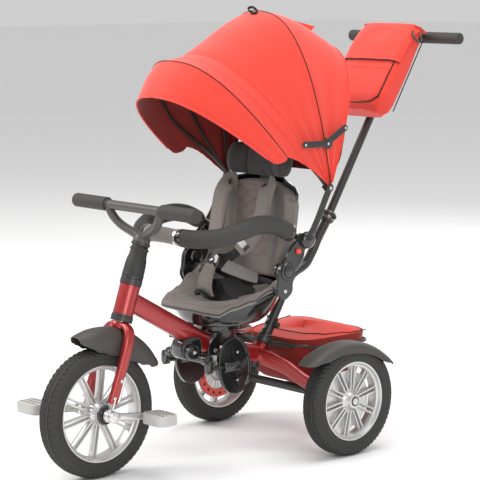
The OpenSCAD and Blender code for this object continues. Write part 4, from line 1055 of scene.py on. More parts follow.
def build_bag():
    """Storage bag with piped gussets, and its flap."""
    s = Shape()
    steps = [0, 1.5, 4, 8, 14] + [14 + 9.2 * i for i in range(1, 23)] + [222, 228, 232, 235, 236]
    s.loft([bag_ring(t) for t in steps])
    half = 80
    outline = [(-half, 20), (-half, 190), (-half + 4, 206), (-half + 16, 217), (-half + 30, 221), (0, 223),
               (half - 30, 221), (half - 16, 217), (half - 4, 206), (half, 190), (half, 20)]
    path = smooth_path([Vector((x, t, 0)) for x, t in outline], 6)
    s.sweep([bag_front(p.x, p.y, 0.8) for p in path], oval(1.7, 1.7, 8), tuple(PUSH_FRONT), 1)
    stitches(s, [bag_front(p.x * 0.955, p.y * 0.985, 0.3) for p in path], 2)
    for t in (128, 132):
        stitches(s, [bag_front(x, t, 0.3) for x in range(-78, 79, 6)], 2)
    side_line = [on_push(BAG_W * 0.985, 24, -t) for t in range(16, 222, 8)]
    s.sweep(side_line, oval(1.5, 1.5, 8), tuple(PUSH_FRONT), 1)
    s.sweep([Vector((-p.x, p.y, p.z)) for p in side_line], oval(1.5, 1.5, 8), tuple(PUSH_FRONT), 1)
    hook = [on_push(BAG_W - 2 + 9 * math.sin(w), 50 + 15 * math.cos(w), -26 - 12 * math.sin(w))
            for w in [2 * math.pi * i / 24 for i in range(25)]]
    s.sweep(hook, oval(2.6, 2.6, 10), AXIS_X, 3)
    s.sweep([on_push(BAG_W - 4, 30, -18), on_push(BAG_W + 3, 38, -26)], oval(7, 1.4, 10, 3), AXIS_X, 4)
    bag = make("storage_bag", s, ["coral cloth", "dark thread", "coral thread", "dark grey plastic", "black webbing"],
               "push_upper", "bag", 70)

    f = Shape()
    rows = []
    profile = [(19, 3.4), (34, 4.4), (48, 4.2), (58, 2.6)]
    profile += [(None, t) for t in (2, 8, 16, 28, 42, 58, 74, 90, 102, 108)]
    forward = on_push(0, 1, 0) - on_push(0, 0, 0)
    upward = on_push(0, 0, 1) - on_push(0, 0, 0)
    corner = 85
    for ahead, t in profile:
        row = []
        for k in range(29):
            u = k / 14 - 1
            if ahead is not None:
                row.append(on_push(88.5 * u, ahead, t - 4.5 * abs(u) ** 4))
            else:
                x = lerp(89, 91.5, min(1, t / 60)) * u
                p = bag_front(min(max(x, -corner), corner), max(t, 6), 4.2)
                over = max(0, abs(x) - corner)
                p += Vector((math.copysign(over, x) * MM, 0, 0)) - forward * over * 1.3
                row.append(p + upward * (max(t, 6) - t))
        rows.append(row)
    f.sheet(rows, 2.2)
    f.sweep([p + forward * 0.4 for p in rows[-1]], oval(1.5, 1.9, 8), tuple(PUSH_FRONT), 1)
    lid = make("storage_bag_flap", f, ["coral cloth", "dark thread"], "flap", "bag_flap", 70)


# ------------------------------------------------------------------ basket

BASKET_FRONT, BASKET_BACK = 521, 716


BASKET_NARROW, BASKET_WIDE = 102, 138


def basket_plan(inset, count=72):
    """Plan of the basket, narrow in front and wide behind, as (x, y, share of the way back)."""
    ring = []
    for k in range(count):
        w = 2 * math.pi * k / count
        f = (blunt(math.sin(w), 4.4) + 1) / 2
        x = (lerp(BASKET_NARROW, BASKET_WIDE, f) - inset) * blunt(math.cos(w), 4.2)
        ring.append((x, lerp(BASKET_FRONT + inset, BASKET_BACK - inset, f), f))
    return ring


def build_basket():
    """Fabric basket hung from a wire rim, with a crowned zip lid."""
    s = Shape()
    rings = []
    for i in range(15):
        t = i / 14
        z = lerp(248, 144, t)
        inset = lerp(0, 15, t) - 3.5 * math.sin(math.pi * t) + (7 if i == 14 else 0)
        ring = []
        for x, y, f in basket_plan(inset):
            lift = 9 * f * (1 - t) - 2 + 3 * f * t
            fold = noise.noise(Vector((x * 0.02, y * 0.02, t * 2.2))) * 4.2
            tuck = noise.noise(Vector((x * 0.07, y * 0.07, t * 1.3 + 5))) * 1.6
            slack = math.sin(math.pi * min(1, t * 1.1))
            d = Vector((x, y - 620, 0)).normalized() * (fold + tuck) * slack
            ring.append(at(x + d.x, y + d.y, z + lift))
        rings.append(ring)
    floor = []
    for k in (0.8, 0.5, 0.2):
        floor.append([at(p.x / MM * k, lerp(625, (p.y - AXLE_Y) / MM, k), 143 - 1.5 * (1 - k))
                      for p in rings[-1]])
    # The basket's inside is given the darker copy of the coral cloth: painted shade.
    s.sheet(rings + floor, 2.6, 0, 1, wrap=True)
    s.sweep(rings[4] + [rings[4][0]], oval(1.2, 1.2, 8), (0, 0, 1), 2, False)
    basket = make("fabric_basket", s, ["coral cloth", "coral cloth in painted shade", "coral thread"], "frame", "basket",
                  80)

    lid = Shape()
    rings = []
    lid_mid = 622
    for i, k in enumerate((1.0, 1.012, 1.0, 0.97, 0.9, 0.78, 0.62, 0.44, 0.25, 0.08, 0.003)):
        ring = []
        for x, y, f in basket_plan(0):
            h = 240 + 10 * f
            crown = (9 + 9 * f) * (1 - k ** 2.6) if k < 1 else 0
            wave = noise.noise(Vector((x * k * 0.014, y * 0.012, 2))) * 3 * (1 - k) if k < 1 else 0
            z = h + (i - 2) * (7.5 if i < 2 else 0) + crown + (3 if i >= 3 else (1.5 if i == 2 else 0)) + wave
            ring.append(at(x * k, lid_mid + (y - lid_mid) * k, z))
        rings.append(ring)
    lid.sheet(rings, 2.2, 0, 0, wrap=True)
    lid.sweep(rings[2] + [rings[2][0]], oval(1.7, 1.7, 8), (0, 0, 1), 1, False)
    zip_line = []
    for x in range(-128, 129, 8):
        y = table([(0, 560), (60, 562), (90, 590), (118, 650), (128, 700)], abs(x))
        f = max(0, min(1, (y - BASKET_FRONT) / (BASKET_BACK - BASKET_FRONT)))
        k = min(1, max(abs(x) / lerp(BASKET_NARROW, BASKET_WIDE, f), abs(y - lid_mid) / 100))
        zip_line.append(at(x, y, 240 + 10 * f + (9 + 9 * f) * (1 - k ** 2.6) + 3.6))
    lid.sweep(zip_line, oval(1.3, 1.3, 8), (0, 0, 1), 1, False)
    top = make("basket_cover", lid, ["coral cloth", "dark thread"], "frame", "basket_lid", 70)

    wire = Shape()
    half = [(24, 514, 235), (60, 514, 234), (82, 513, 234), (104, 530, 234), (106, 551, 228), (120, 610, 229),
            (134, 676, 231), (127, 700, 232), (98, 711, 232), (50, 712, 232), (0, 712, 232)]
    for side in (LEFT, RIGHT):
        wire.sweep(smooth_path([at(x * side, y, z) for x, y, z in half], 5), oval(3.4, 3.4, 16), (0, 0, 1), 0)
    wire.lathe([(-0.4, 17), (0, 19.4), (1, 20), (12, 20), (13, 19), (13, 13.2)], stem(0), STEM_DIR, 40, 0)
    for side in (LEFT, RIGHT):
        arm = smooth_path([stem(6, side * 12, -12), at(side * 22, 505, 232), at(side * 44, 514, 232),
                           at(side * 70, 517, 230)], 5)
        wire.sweep(arm, oval(13, 5, 20, 3), (0, 0, 1), 0, True, lambda t: (lerp(1, 0.55, t), 1))
    make("basket_wire", wire, "satin black", "frame", "basket_frame")


# ------------------------------------------------------------------ foot plates


def build_foot_plates():
    """Cross bar with its round clamp and the two folding foot plates."""
    s = Shape()
    clamp = []
    for x, k in ((-20, 0.86), (-19, 0.95), (-15, 1), (15, 1), (19, 0.95), (20, 0.86)):
        clamp.append([at(x, 257 + 30 * blunt(math.cos(w), 3) * k, 252 + 26 * blunt(math.sin(w), 3) * k)
                      for w in [2 * math.pi * (i + 0.5) / 40 for i in range(40)]])
    s.loft(clamp)
    s.tube([(-68, 262, 232), (68, 262, 232)], 10, 28, 0, (0, 0, 1), 1.5)
    for side in (LEFT, RIGHT):
        s.lathe([(18, 15), (19, 17.4), (26, 18.2), (30, 17.2), (31.4, 15), (30.6, 12), (31.4, 9), (31.6, 0.4)],
                at(0, 250, 246), AXIS_X * side, 44, 0)
        s.bolt(at(side * 31.2, 250, 246), AXIS_X * side, 3.4, 1.8, 1)
        s.lathe([(52, 10), (53, 12.4), (64, 12.6), (70, 11.6), (71, 9.8)],
                at(0, 262, 232), AXIS_X * side, 36, 0)
        knuckle = []
        for y, k in ((251, 0.85), (252.5, 1), (264, 1), (266, 0.85)):
            knuckle.append([at(side * 75 + x * k, y, 219 + z * k) for x, z in oval(10, 17, 28, 3)])
        s.loft(knuckle)
        s.bolt(at(side * 58, 252, 234), Vector((0, -1, 0)), 3.4, 2, 1)
        s.tube([(side * 75, 262, 212), (side * 75, 300, 212)], 5.9, 20)
    make("foot_crossbar", s, ["gloss black", "zinc"], "frame", "footrest_bar")
    for side, word in SIDES:
        p = Shape()
        cy, cz, tilt, half = 332, 212, math.radians(12), 47

        def on_plate(a, b, depth, side=side):
            """Point on the leaning plate, a along it and b up it."""
            y = a * math.cos(tilt) - b * math.sin(tilt)
            z = a * math.sin(tilt) + b * math.cos(tilt)
            return at(side * (75 + depth), cy + y, cz + z)

        prof = [(0.9, 4.6), (0.97, 4.8), (1.0, 3.6), (1.0, -3.6), (0.985, -4.8), (0.95, -4.9), (0.935, -4.2),
                (0.93, -1.0), (0.9, 0.2), (0.6, 0.4), (0.3, 0.4), (0.15, 0.4)]
        rings = []
        for k, depth in prof:
            tall = (half * k + 18) * (k * 3 if k < 0.2 else 1)
            rings.append([on_plate(half * k * blunt(math.cos(w), 2.3), tall * blunt(math.sin(w), 2.3), -depth)
                          for w in [2 * math.pi * (i + 0.5) / 64 for i in range(64)]])
        p.loft(rings)
        for (a0, b0), (a1, b1) in (((0, 56), (0, -56)), ((-40, 10), (40, 10)), ((-34, -30), (34, -30))):
            pts = [on_plate(lerp(a0, a1, t), lerp(b0, b1, t), 2.6) for t in (0, 0.5, 1)]
            p.sweep(pts, oval(1.6, 2.4, 8, 3), AXIS_X, 0)
        p.lathe([(-36, 9), (-35, 12.6), (-33, 13.8), (8, 13.8), (9.6, 12.4), (10, 8)],
                at(side * 75, cy, cz), Vector((0, 1, 0)), 36, 0)
        for dz in (-34, 30):
            p.bolt(at(side * 78.4, cy + 8, cz + dz), AXIS_X * side, 3, 1.6, 1)
        make("foot_plate_moulded_" + word, p, ["gloss black", "zinc"], "foot_plate_" + word, "footrest_" + word)


# ------------------------------------------------------------------ seat

HINGE = (410, 428)
BACK_LEAN = math.radians(8)


def back(x, y, z):
    """Point in the backrest's frame: across, behind its hinge, up its slope."""
    c, s = math.cos(BACK_LEAN), math.sin(BACK_LEAN)
    return at(x, HINGE[0] + y * c + z * s, HINGE[1] - y * s + z * c)


def pad(front, push, thick, nu=49, nv=49, edge=0.16, slot=0):
    """Closed pad: front(u, v) is its face, push the unit direction of its depth."""
    s = Shape()
    push = Vector(push)
    skins = []
    for under in (False, True):
        grid = []
        for i in range(nv):
            v = i / (nv - 1)
            row = []
            for k in range(nu):
                u = k / (nu - 1) * 2 - 1
                e = min(1 - abs(u), 2 * v if v < 0.5 else 2 * (1 - v))
                e = max(0.0, min(1.0, e / edge))
                fall = 1 - math.sqrt(max(0.0, 1 - (1 - e) ** 2))
                d = thick * (1 - 0.5 * fall) if under else thick * 0.5 * fall
                row.append(front(u, v) + push * d * MM)
            grid.append(row)
        skins.append(grid)
    verts = [p for grid in skins for row in grid for p in row]
    m = nu * nv
    faces = []
    for i in range(nv - 1):
        for k in range(nu - 1):
            a = i * nu + k
            faces.append((a, a + 1, a + nu + 1, a + nu))
            faces.append((m + a + nu, m + a + nu + 1, m + a + 1, m + a))
    for k in range(nu - 1):
        faces.append((m + k, m + k + 1, k + 1, k))
        z = (nv - 1) * nu + k
        faces.append((z, z + 1, m + z + 1, m + z))
    for i in range(nv - 1):
        a, b = i * nu, (i + 1) * nu
        faces.append((a, b, m + b, m + a))
        a, b = i * nu + nu - 1, (i + 1) * nu + nu - 1
        faces.append((m + a, m + b, b, a))
    s.add(verts, faces, slot)
    return s


def on_edge(front, inset, lift, push, v0=0.0, v1=1.0, steps=40):
    """Path along a pad's face a little way in from its edge."""
    push = Vector(push)
    pts = [front(-1 + inset, lerp(v1, v0, i / steps)) for i in range(steps)]
    pts += [front(lerp(-1 + inset, 1 - inset, i / steps), v0) for i in range(steps)]
    pts += [front(1 - inset, lerp(v0, v1, i / steps)) for i in range(steps + 1)]
    return [p - push * lift * MM for p in pts]


def seat_face(u, v):
    """Top of the seat cushion; v runs from the front edge to the backrest."""
    a = abs(u)
    wide = table([(0, 100), (0.08, 110), (0.25, 122), (0.5, 134), (0.75, 145), (1, 147)], v)
    y = lerp(250, 436, v) + 16 * (1 - v) * a ** 2.4 - 6 * a ** 2 * v
    base = table([(0, 347), (0.06, 353), (0.2, 357), (0.45, 356), (0.75, 362), (1, 380)], v)
    wing = table([(0, -3), (0.2, 4), (0.45, 16), (0.7, 33), (1, 40)], v) * a ** 2.2
    dish = -5 * math.exp(-((a / 0.45) ** 2)) * math.sin(math.pi * v)
    channel = 0.0
    for line in (0.34, 0.56):
        channel -= 2.2 * math.exp(-(((v - line) * 186 - 12 * a * a) / 3.2) ** 2) * (1 if a < 0.62 else 0)
    channel -= 2.4 * math.exp(-((a - 0.64) * 130 / 3.2) ** 2) * ease(v * 5)
    wrinkle = noise.noise(Vector((u * 3.1, v * 3.7, 1.5))) * 1.1
    wrinkle += noise.noise(Vector((u * 9, v * 8, 4))) * 0.7
    return at(u * wide, y, base + wing + dish + channel + wrinkle)


def build_seat():
    """Seat shell, its stitched cushion, side arms and swivel lever."""
    s = Shape()
    rings = []
    for t in (0, 0.02, 0.12, 0.3, 0.5, 0.7, 0.84, 0.93, 1.0):
        ring = []
        for k in range(72):
            w = 2 * math.pi * k / 72
            c, d = blunt(math.cos(w), 2.5), blunt(math.sin(w), 2.5)
            g = (1 - t) ** 0.5 if t < 1 else 0
            f = (d + 1) / 2
            wide = lerp(56, lerp(112, 146, ease(f * 1.3)), g)
            y = lerp(352 + d * 62, lerp(260, 482, f), g)
            top = table([(0, 340), (0.15, 344), (0.35, 352), (0.6, 372), (0.8, 392), (1, 396)], f)
            top += 6 * abs(c) ** 3 * f
            z = lerp(top, 299.4, 1 - (1 - t) ** 1.35)
            ring.append(at(c * wide, y, z))
        rings.append(ring)
    wall = 4
    inward = [(at(0, 365, 0) - Vector((p.x, p.y, 0))).normalized() * wall * 1.2 * MM for p in rings[0]]
    inner = [p + d - Vector((0, 0, wall * MM)) for p, d in zip(rings[0], inward)]
    s.loft(rings[::-1] + [inner])
    lip = [p + Vector((0, 0, MM)) for p in rings[0]]
    s.sweep(lip + [lip[0]], oval(3.0, 3.6, 10), (0, 0, 1), 0, False)
    s.lathe([(262, 8.8), (299, 8.8), (300, 60), (304, 66)], at(0, 352, 0), Vector((0, 0, 1)), 48, 0)
    make("seat_tub", s, "gloss black", "seat", "seat_shell", 50)

    down = (0, 0.05, -1)
    cushion = pad(seat_face, down, 17, 61, 61, 0.1)
    edge = on_edge(seat_face, 0.075, 0.2, down, 0.05, 0.97)
    stitches(cushion, edge, 1, 3.4, 2.2, 0.6)
    rim = on_edge(seat_face, 0.004, -7.5, down, 0.002, 0.99)
    cushion.sweep(rim, oval(1.9, 1.9, 8), (0, 0, 1), 2)
    for line in (0.34, 0.56):
        pts = [seat_face(u / 20, line + 12 * (u / 20) ** 2 / 186) for u in range(-12, 13)]
        pts = [p + Vector((0, 0, 0.6 * MM)) for p in pts]
        stitches(cushion, pts, 1, 3.4, 2.2, 0.5)
    obj = make("seat_cushion_sewn", cushion, ["taupe cloth", "red thread", "charcoal cloth"], "seat", "seat_cushion",
               60)

    for side, word in SIDES:
        a = Shape()
        x0 = 156.6
        spine = [((401, 384), 19), ((404, 404), 18.5), (HINGE, 21), ((421, 449), 14), ((434, 468), 13),
                 ((450, 482), 12), (GUARD_PIVOT, 13)]
        left, right = [], []
        for i, (p, r) in enumerate(spine):
            q0 = spine[max(i - 1, 0)][0]
            q1 = spine[min(i + 1, len(spine) - 1)][0]
            d = Vector((q1[0] - q0[0], q1[1] - q0[1])).normalized()
            n = Vector((-d.y, d.x))
            left.append(Vector(p) + n * r)
            right.append(Vector(p) - n * r)
        d0 = Vector((spine[0][0][0] - spine[1][0][0], spine[0][0][1] - spine[1][0][1])).normalized()
        d1 = Vector((17, 12)).normalized()
        outline = [Vector(spine[0][0]) + d0 * 16] + left + [Vector(GUARD_PIVOT) + d1 * 12] + right[::-1]
        loop3 = smooth_path([Vector((p.x, p.y, 0)) for p in outline], 4, True)
        rings = []
        for k, dx in ((-1.4, 0), (0, 1.2), (0, 9.2), (-1.2, 10.6), (-3.6, 11.2)):
            ring = []
            m = len(loop3)
            for i, p in enumerate(loop3):
                t = (loop3[(i + 1) % m] - loop3[i - 1]).normalized()
                n = Vector((t.y, -t.x, 0))
                q = p + n * k
                ring.append(at(side * (x0 + dx), q.x, q.y))
            rings.append(ring)
        a.loft(rings)
        c = at(side * 167.2, *HINGE)
        a.lathe([(-0.5, 19), (0.6, 20.4), (2.6, 20.6), (4.2, 19.4), (4.4, 15.5), (3.2, 14.8), (3.0, 12.8), (4.6, 12.2),
                 (5.2, 9), (5.6, 0.4)], c, AXIS_X * side, 56, 0)
        g = at(side * 166.6, *GUARD_PIVOT)
        a.lathe([(-0.5, 17), (0.8, 19), (7.5, 19.4), (11, 18), (13.4, 14), (14, 11.2), (13.2, 10.6), (13.6, 9),
                 (15.2, 5), (15.6, 0.4)], g, AXIS_X * side, 56, 0)
        a.lathe([(-17, 4.9), (0, 4.9)], at(side * 163, *GUARD_PIVOT), AXIS_X * side, 24, 1)
        a.bolt(at(side * 168, 402, 384), AXIS_X * side, 4.4, 2.4, 1)
        block = []
        for z, k in ((372, 0.9), (374, 1), (390, 1), (392, 0.9)):
            block.append([at(side * 146 + x * k, 399 + y * k, z) for x, y in oval(11.5, 11, 28, 4)])
        a.loft(block, 0)
        make("seat_side_arm_" + word, a, ["gloss black", "zinc"], "seat", "seat_arm_" + word, 40)

    post = Shape()
    rings = []
    for z, rx, ry in ((226, 19, 46), (229, 22, 50), (250, 22, 50), (262, 23, 46), (270, 27, 36), (279, 32, 33),
                      (285, 44, 44), (288, 51, 51), (297, 52, 52), (298.6, 50, 50)):
        rings.append([at(x, 352 + y, z) for x, y in oval(rx, ry, 56, 2.6)])
    post.loft(rings)
    for side in (LEFT, RIGHT):
        post.sweep([at(side * 17, y, 268) for y in (398, 412, 421)], oval(8.5, 3, 20, 3), (0, 0, 1), 0)
        for y in (322, 382):
            post.bolt(at(side * 22.4, y, 240), AXIS_X * side, 4.6, 2.6, 1)
    make("seat_pillar", post, ["gloss black", "zinc"], "frame", "seat_post")
    lever = Shape()
    blade = smooth_path([at(0, 412, 268), at(0, 428, 268), at(0, 442, 269), at(0, 452, 271)], 5)
    lever.sweep(blade, oval(12.8, 4.2, 24, 3), (0, 0, 1), 0, True,
                lambda t: (lerp(0.9, 1.0, t), lerp(1, 0.8, t)))
    lever.tube([(-22.8, 414, 268), (22.8, 414, 268)], 4.8, 20, 0, (0, 0, 1), 0.6)
    make("seat_turn_lever", lever, "bright red", "lever", "swivel_lever")


# ------------------------------------------------------------------ backrest


BACK_WIDTHS = ((0, 104), (0.1, 117), (0.4, 125), (0.75, 126), (0.9, 117), (1, 94))
QUILT_PITCH, QUILT_SLOPE = 30, 0.62


def back_face(u, v):
    """Front face of the backrest; v runs from its foot to its top."""
    a = abs(u)
    wide = table(BACK_WIDTHS, v)
    z = lerp(-22, 198, v) - 20 * max(0, v - 0.8) / 0.2 * a ** 3
    y = 31 - 17 * ease((a - 0.45) / 0.55) * table([(0, 0.4), (0.2, 1), (0.8, 1), (1, 0.2)], v)
    y += 3 * math.sin(math.pi * v)
    x = u * wide
    quilt = 0.0
    if a < 0.52 and 0.2 < v < 0.93:  # diamonds between the two upright seams
        p, q = (z + x * QUILT_SLOPE) / QUILT_PITCH, (z - x * QUILT_SLOPE) / QUILT_PITCH
        quilt = 2.9 * (abs(math.sin(math.pi * p)) * abs(math.sin(math.pi * q))) ** 0.55
        quilt *= ease((0.52 - a) / 0.05)
    seamline = 2.4 * math.exp(-((a - 0.54) * 118 / 3.0) ** 2)
    wrinkle = noise.noise(Vector((u * 3 + 4, v * 4, 2))) * 2.0
    return back(x, y - quilt + seamline - wrinkle, z)


def strap(shape, path, half, thick, up, slot=0, narrow=None):
    """Flat strap or pad with rounded edges along a path in metres."""
    shape.sweep(path, oval(half, thick, 28, 3.2), up, slot, True, narrow)


def build_backrest():
    """Quilted backrest, its shell, headrest and shoulder pads."""
    to_back = back(0, 1, 0) - back(0, 0, 0)
    to_back = tuple(to_back.normalized())
    b = pad(back_face, to_back, 44, 81, 81, 0.07)
    edge = on_edge(back_face, 0.07, 0.3, to_back, 0.02, 0.96)
    stitches(b, edge, 1, 3.4, 2.2, 0.6)
    top = [back_face(u / 20, 0.965) for u in range(-18, 19)]
    stitches(b, top, 1, 3.4, 2.2, 0.6)
    for sign in (-1, 1):
        for k in range(-3, 10):
            pts = []
            for i in range(60):
                x = -62 + i * 124 / 59
                z = k * QUILT_PITCH - sign * x * QUILT_SLOPE
                v = (z + 22) / 220
                if 0.2 < v < 0.93:
                    u = x / table(BACK_WIDTHS, v)
                    if abs(u) < 0.5:
                        pts.append(back_face(u, v) - Vector(to_back) * 0.0004)
            if len(pts) > 4:
                stitches(b, pts, 1, 4.4, 1.6, 0.8)
    for side in (-1, 1):
        pts = [back_face(side * 0.54, 0.05 + i * 0.9 / 40) for i in range(41)]
        stitches(b, pts, 1, 3.4, 2.2, 0.5)
    obj = make("backrest_quilted", b, ["taupe cloth", "red thread"], "back", "back_pad", 60)

    s = Shape()
    rows = []
    for i in range(25):
        v = i / 24
        row = []
        for k in range(33):
            u = k / 16 - 1
            wide = table([(0, 96), (0.1, 108), (0.4, 116), (0.8, 117), (0.93, 104), (1, 82)], v)
            z = lerp(-4, 209, v) - 14 * max(0, v - 0.8) / 0.2 * abs(u) ** 3
            y = 78 - 6 * (1 - v) - 26 * abs(u) ** 5 - 2.4 * math.cos(u * 9) - 14 * ease((v - 0.93) / 0.07)
            row.append(back(u * wide, y, z))
        rows.append(row)
    s.sheet(rows, 4.0)
    border = [rows[i][0] for i in range(25)] + rows[-1][1:] + [rows[i][-1] for i in range(23, -1, -1)]
    s.sweep(border, oval(2.8, 2.8, 10), AXIS_X, 0)
    for side in (LEFT, RIGHT):
        ear = smooth_path([back(side * x, y, z) for x, y, z in
                           ((142, 0, 0), (142, 24, 6), (142, 46, 14), (140, 60, 40), (132, 66, 66))], 5)
        s.sweep(ear, oval(15.5, 3.9, 24, 3), AXIS_X, 0, True, lambda t: lerp(1.0, 0.75, t))
        s.lathe([(138.2, 14), (139, 16), (145, 16), (146, 14.5), (146, 8), (168, 7.9), (169.6, 7)],
                at(0, *HINGE), AXIS_X * side, 40, 0)
    for z in (60, 110, 160):
        s.sweep([back(x, 76.7, z) for x in range(-90, 91, 15)], oval(3, 3, 10), (0, 0, 1), 0)
    box = []
    for z, k in ((128, 0.94), (131, 1), (184, 1), (187, 0.94)):
        box.append([back(x * k, 65 + y * k, z) for x, y in oval(30, 11, 36, 5)])
    s.loft(box)
    make("backrest_shell", s, "gloss black", "back", "back_shell", 45)

    h = Shape()
    path = [back(x, 56 - 33 * (abs(x) / 96) ** 2.6, 244 - 4 * (abs(x) / 96) ** 2) for x in range(-96, 97, 4)]
    n = len(path) - 1

    def bolster(t):
        e = min(t, 1 - t) / 0.09
        k = math.sqrt(max(0.0, 1 - (1 - min(1, e)) ** 2)) if e < 1 else 1
        pinch = 0.09 * math.exp(-((abs(t - 0.5) - 0.24) / 0.018) ** 2)
        tall = (0.45 + 0.55 * k) * (1 + 0.05 * math.cos((t - 0.5) * 7) - pinch * 0.5)
        return tall, (0.4 + 0.6 * k) * (1 - pinch * 2.2)

    sec = [(u * (1 + 0.02 * math.sin(v)), v) for u, v in oval(37, 20, 40, 2.5)]
    rings = []
    up = (back(0, 0, 1) - back(0, 0, 0)).normalized()
    for i, p in enumerate(path):
        t = (path[min(i + 1, n)] - path[max(i - 1, 0)]).normalized()
        out = t.cross(up).normalized()
        ku, kv = bolster(i / n)
        ring = []
        for u, v in sec:
            wob = 1 + 0.035 * noise.noise(Vector((i * 0.25, u * 0.06, v * 0.1)))
            ring.append(p + up * u * ku * wob * MM + out * v * kv * wob * MM)
        rings.append(ring)
    h.loft(rings)
    for t in (12, len(path) - 13):
        ring = rings[t]
        h.sweep(ring + [ring[0]], oval(0.9, 0.9, 6), AXIS_X, 1, False)
    for off in (0.6, -0.6):
        pts = [rings[i][int(len(sec) * (0.5 if off > 0 else 0.98))] for i in range(3, n - 2)]
        stitches(h, pts, 2, 3.4, 2.4, 0.5)
    h.sweep([back(0, 61, z) for z in (134, 160, 190, 216)], oval(19, 2.9, 20, 4), to_back, 3)
    obj = make("headrest_bolster", h, ["charcoal cloth", "dark thread", "red thread", "satin black"], "head_rest",
               "headrest", 60)

    p = Shape()
    for side in (LEFT, RIGHT):
        path = smooth_path([back(side * x, y, z) for x, y, z in
                            ((60, 26, 184), (68, 9, 182), (72, -4, 160), (73, -8, 120), (68, -14, 80),
                             (56, -28, 50), (44, -42, 30))], 6)
        strap(p, path, 24, 6.4, to_back, 0, lambda t: (table([(0, 0.7), (0.1, 1), (0.85, 1), (1, 0.62)], t), 1))
        face = [q - Vector(to_back) * 0.0061 for q in path]
        for k in (-1, 1):
            stitches(p, [q + AXIS_X * k * 0.0195 for q in face[3:-3]], 1, 3.4, 2.2, 0.5)
        web = smooth_path([back(side * x, y, z) for x, y, z in
                           ((44, -42, 32), (36, -54, 18), (24, -64, 10), (12, -72, 9))], 5)
        strap(p, web, 12, 1.2, to_back, 2)
        slider = smooth_path([back(side * 58, -33, 52), back(side * 50, -40, 40)], 2)
        p.sweep(slider, oval(17, 3.6, 20, 4), to_back, 3, True)
        loop = smooth_path([back(side * x, y, z) for x, y, z in
                            ((66, 6, 186), (63, 1, 176), (66, -2, 162), (70, -9, 150))], 5)
        strap(p, loop, 10, 1.6, to_back, 2)
    make("shoulder_pads", p, ["taupe cloth", "red thread", "black webbing", "gloss black"], "back",
         "shoulder_straps", 60)

    q = Shape()
    mid = smooth_path([at(0, 312, 366), at(0, 309, 380), at(0, 312, 400), at(0, 321, 420), at(0, 330, 434)], 6)
    strap(q, mid, 23, 4.4, (0, -1, 0.25), 0, lambda t: (lerp(1.25, 0.75, t), 1))
    for k in (-1, 1):
        line = [v + Vector((k * lerp(23.5, 14.5, i / len(mid)), -4.4, 0)) * MM for i, v in enumerate(mid)]
        stitches(q, line, 1, 3.4, 2.2, 0.5)
    loop = smooth_path([at(x, y, z) for x, y, z in
                        ((-18, 305, 366), (-12, 298, 374), (0, 296, 378), (12, 298, 374), (18, 305, 366))], 5)
    q.sweep(loop, oval(7, 4.0, 16, 3), (0, 0, 1), 2)
    c = at(0, 336, 440)
    rings = []
    lean = math.radians(62)
    normal = Vector((0, -math.sin(lean), math.cos(lean)))
    across, over = AXIS_X, normal.cross(AXIS_X)
    for d, k in ((-6.5, 0.86), (-5.4, 0.97), (-4, 1), (3, 1), (5.2, 0.95), (6.4, 0.84)):
        rings.append([c + (normal * d + across * u * k + over * v * k) * MM for u, v in oval(23, 20, 48, 3)])
    q.loft(rings, 3)
    q.lathe([(0, 10.5), (1.2, 10.2), (1.6, 9), (0.9, 8.4), (1.4, 7.4), (2.2, 4), (2.4, 0.3)],
            c + normal * 6.2 * MM, normal, 36, 3)
    q.bolt(c + normal * 8.2 * MM, normal, 3, 0.8, 4)
    for side in (LEFT, RIGHT):
        hip = smooth_path([at(side * x, y, z) for x, y, z in
                           ((20, 337, 440), (52, 352, 426), (84, 384, 408), (104, 420, 396))], 6)
        strap(q, hip, 11, 1.4, (0, -0.6, 0.8), 2)
        strap(q, hip[3:14], 17, 4.6, (0, -0.6, 0.8), 0)
    make("harness_front", q, ["taupe cloth", "red thread", "black webbing", "gloss black", "zinc"], "seat",
         "harness_buckle", 60)


# ------------------------------------------------------------------ hood

HOOD_PIVOT = (532, 607)
SECTIONS = (
    (-66, -53.9, 183, 454.5, 2.43, -3.4, -56.8), (-59, -48.0, 178.5, 429, 2.5, -27, -33),
    (-52, -41.6, 174, 400.4, 2.57, -50, -12), (-46, -41.2, 175, 394.5, 2.43, -24, -5),
    (-40, -39.8, 176, 389, 2.3, 0, 0), (-30, -31, 178, 386, 2.3, 0, 0), (-20, -22, 178, 390, 2.35, 0, 0),
    (-6, -8.8, 177.5, 398, 2.45, 0, 0), (2, 0, 179, 385, 2.45, 0, 0), (10, 9, 180, 364, 2.6, 0, 0),
    (20, 20, 178, 337, 2.9, 0, 0),
)
FEET = [(-66, 25.5), (-65.4, 22.6), (-65, 21.6), (-63, 19.4), (-61, 17.3), (-59, 15.5), (-57, 14.2), (-54, 12.9),
        (-52, 12.2), (-50, 11.6), (-48, 10.4), (-46, 8.6), (-44, 6.2), (-42, 3.4), (-40, 0.8), (20, 0.5)]
# Keys of the sections: the visor's hem and bow, the front, middle and rear bows.
VISOR_HEM, VISOR_BOW, FRONT_BOW, MIDDLE_BOW, REAR_BOW = -66, -52, -40, -6, 20


def section_at(key):
    """Lean, half width, height, squareness and shift of the hood's cross section."""
    pts = [Vector(r[1:]) for r in SECTIONS]
    for i, (a, b) in enumerate(zip(SECTIONS, SECTIONS[1:])):
        if key <= b[0]:
            t = (key - a[0]) / (b[0] - a[0])
            p0, p1, p2, p3 = (pts[min(max(i + k, 0), len(pts) - 1)] for k in (-1, 0, 1, 2))
            if a[0] in (VISOR_BOW, FRONT_BOW, MIDDLE_BOW):
                p0 = p1 * 2 - p2
            if b[0] in (VISOR_BOW, FRONT_BOW, MIDDLE_BOW):
                p3 = p2 * 2 - p1
            return 0.5 * (2 * p1 + (p2 - p0) * t + (2 * p0 - 5 * p1 + 4 * p2 - p3) * t * t
                          + (3 * p1 - p0 - 3 * p2 + p3) * t ** 3)
    return pts[-1]


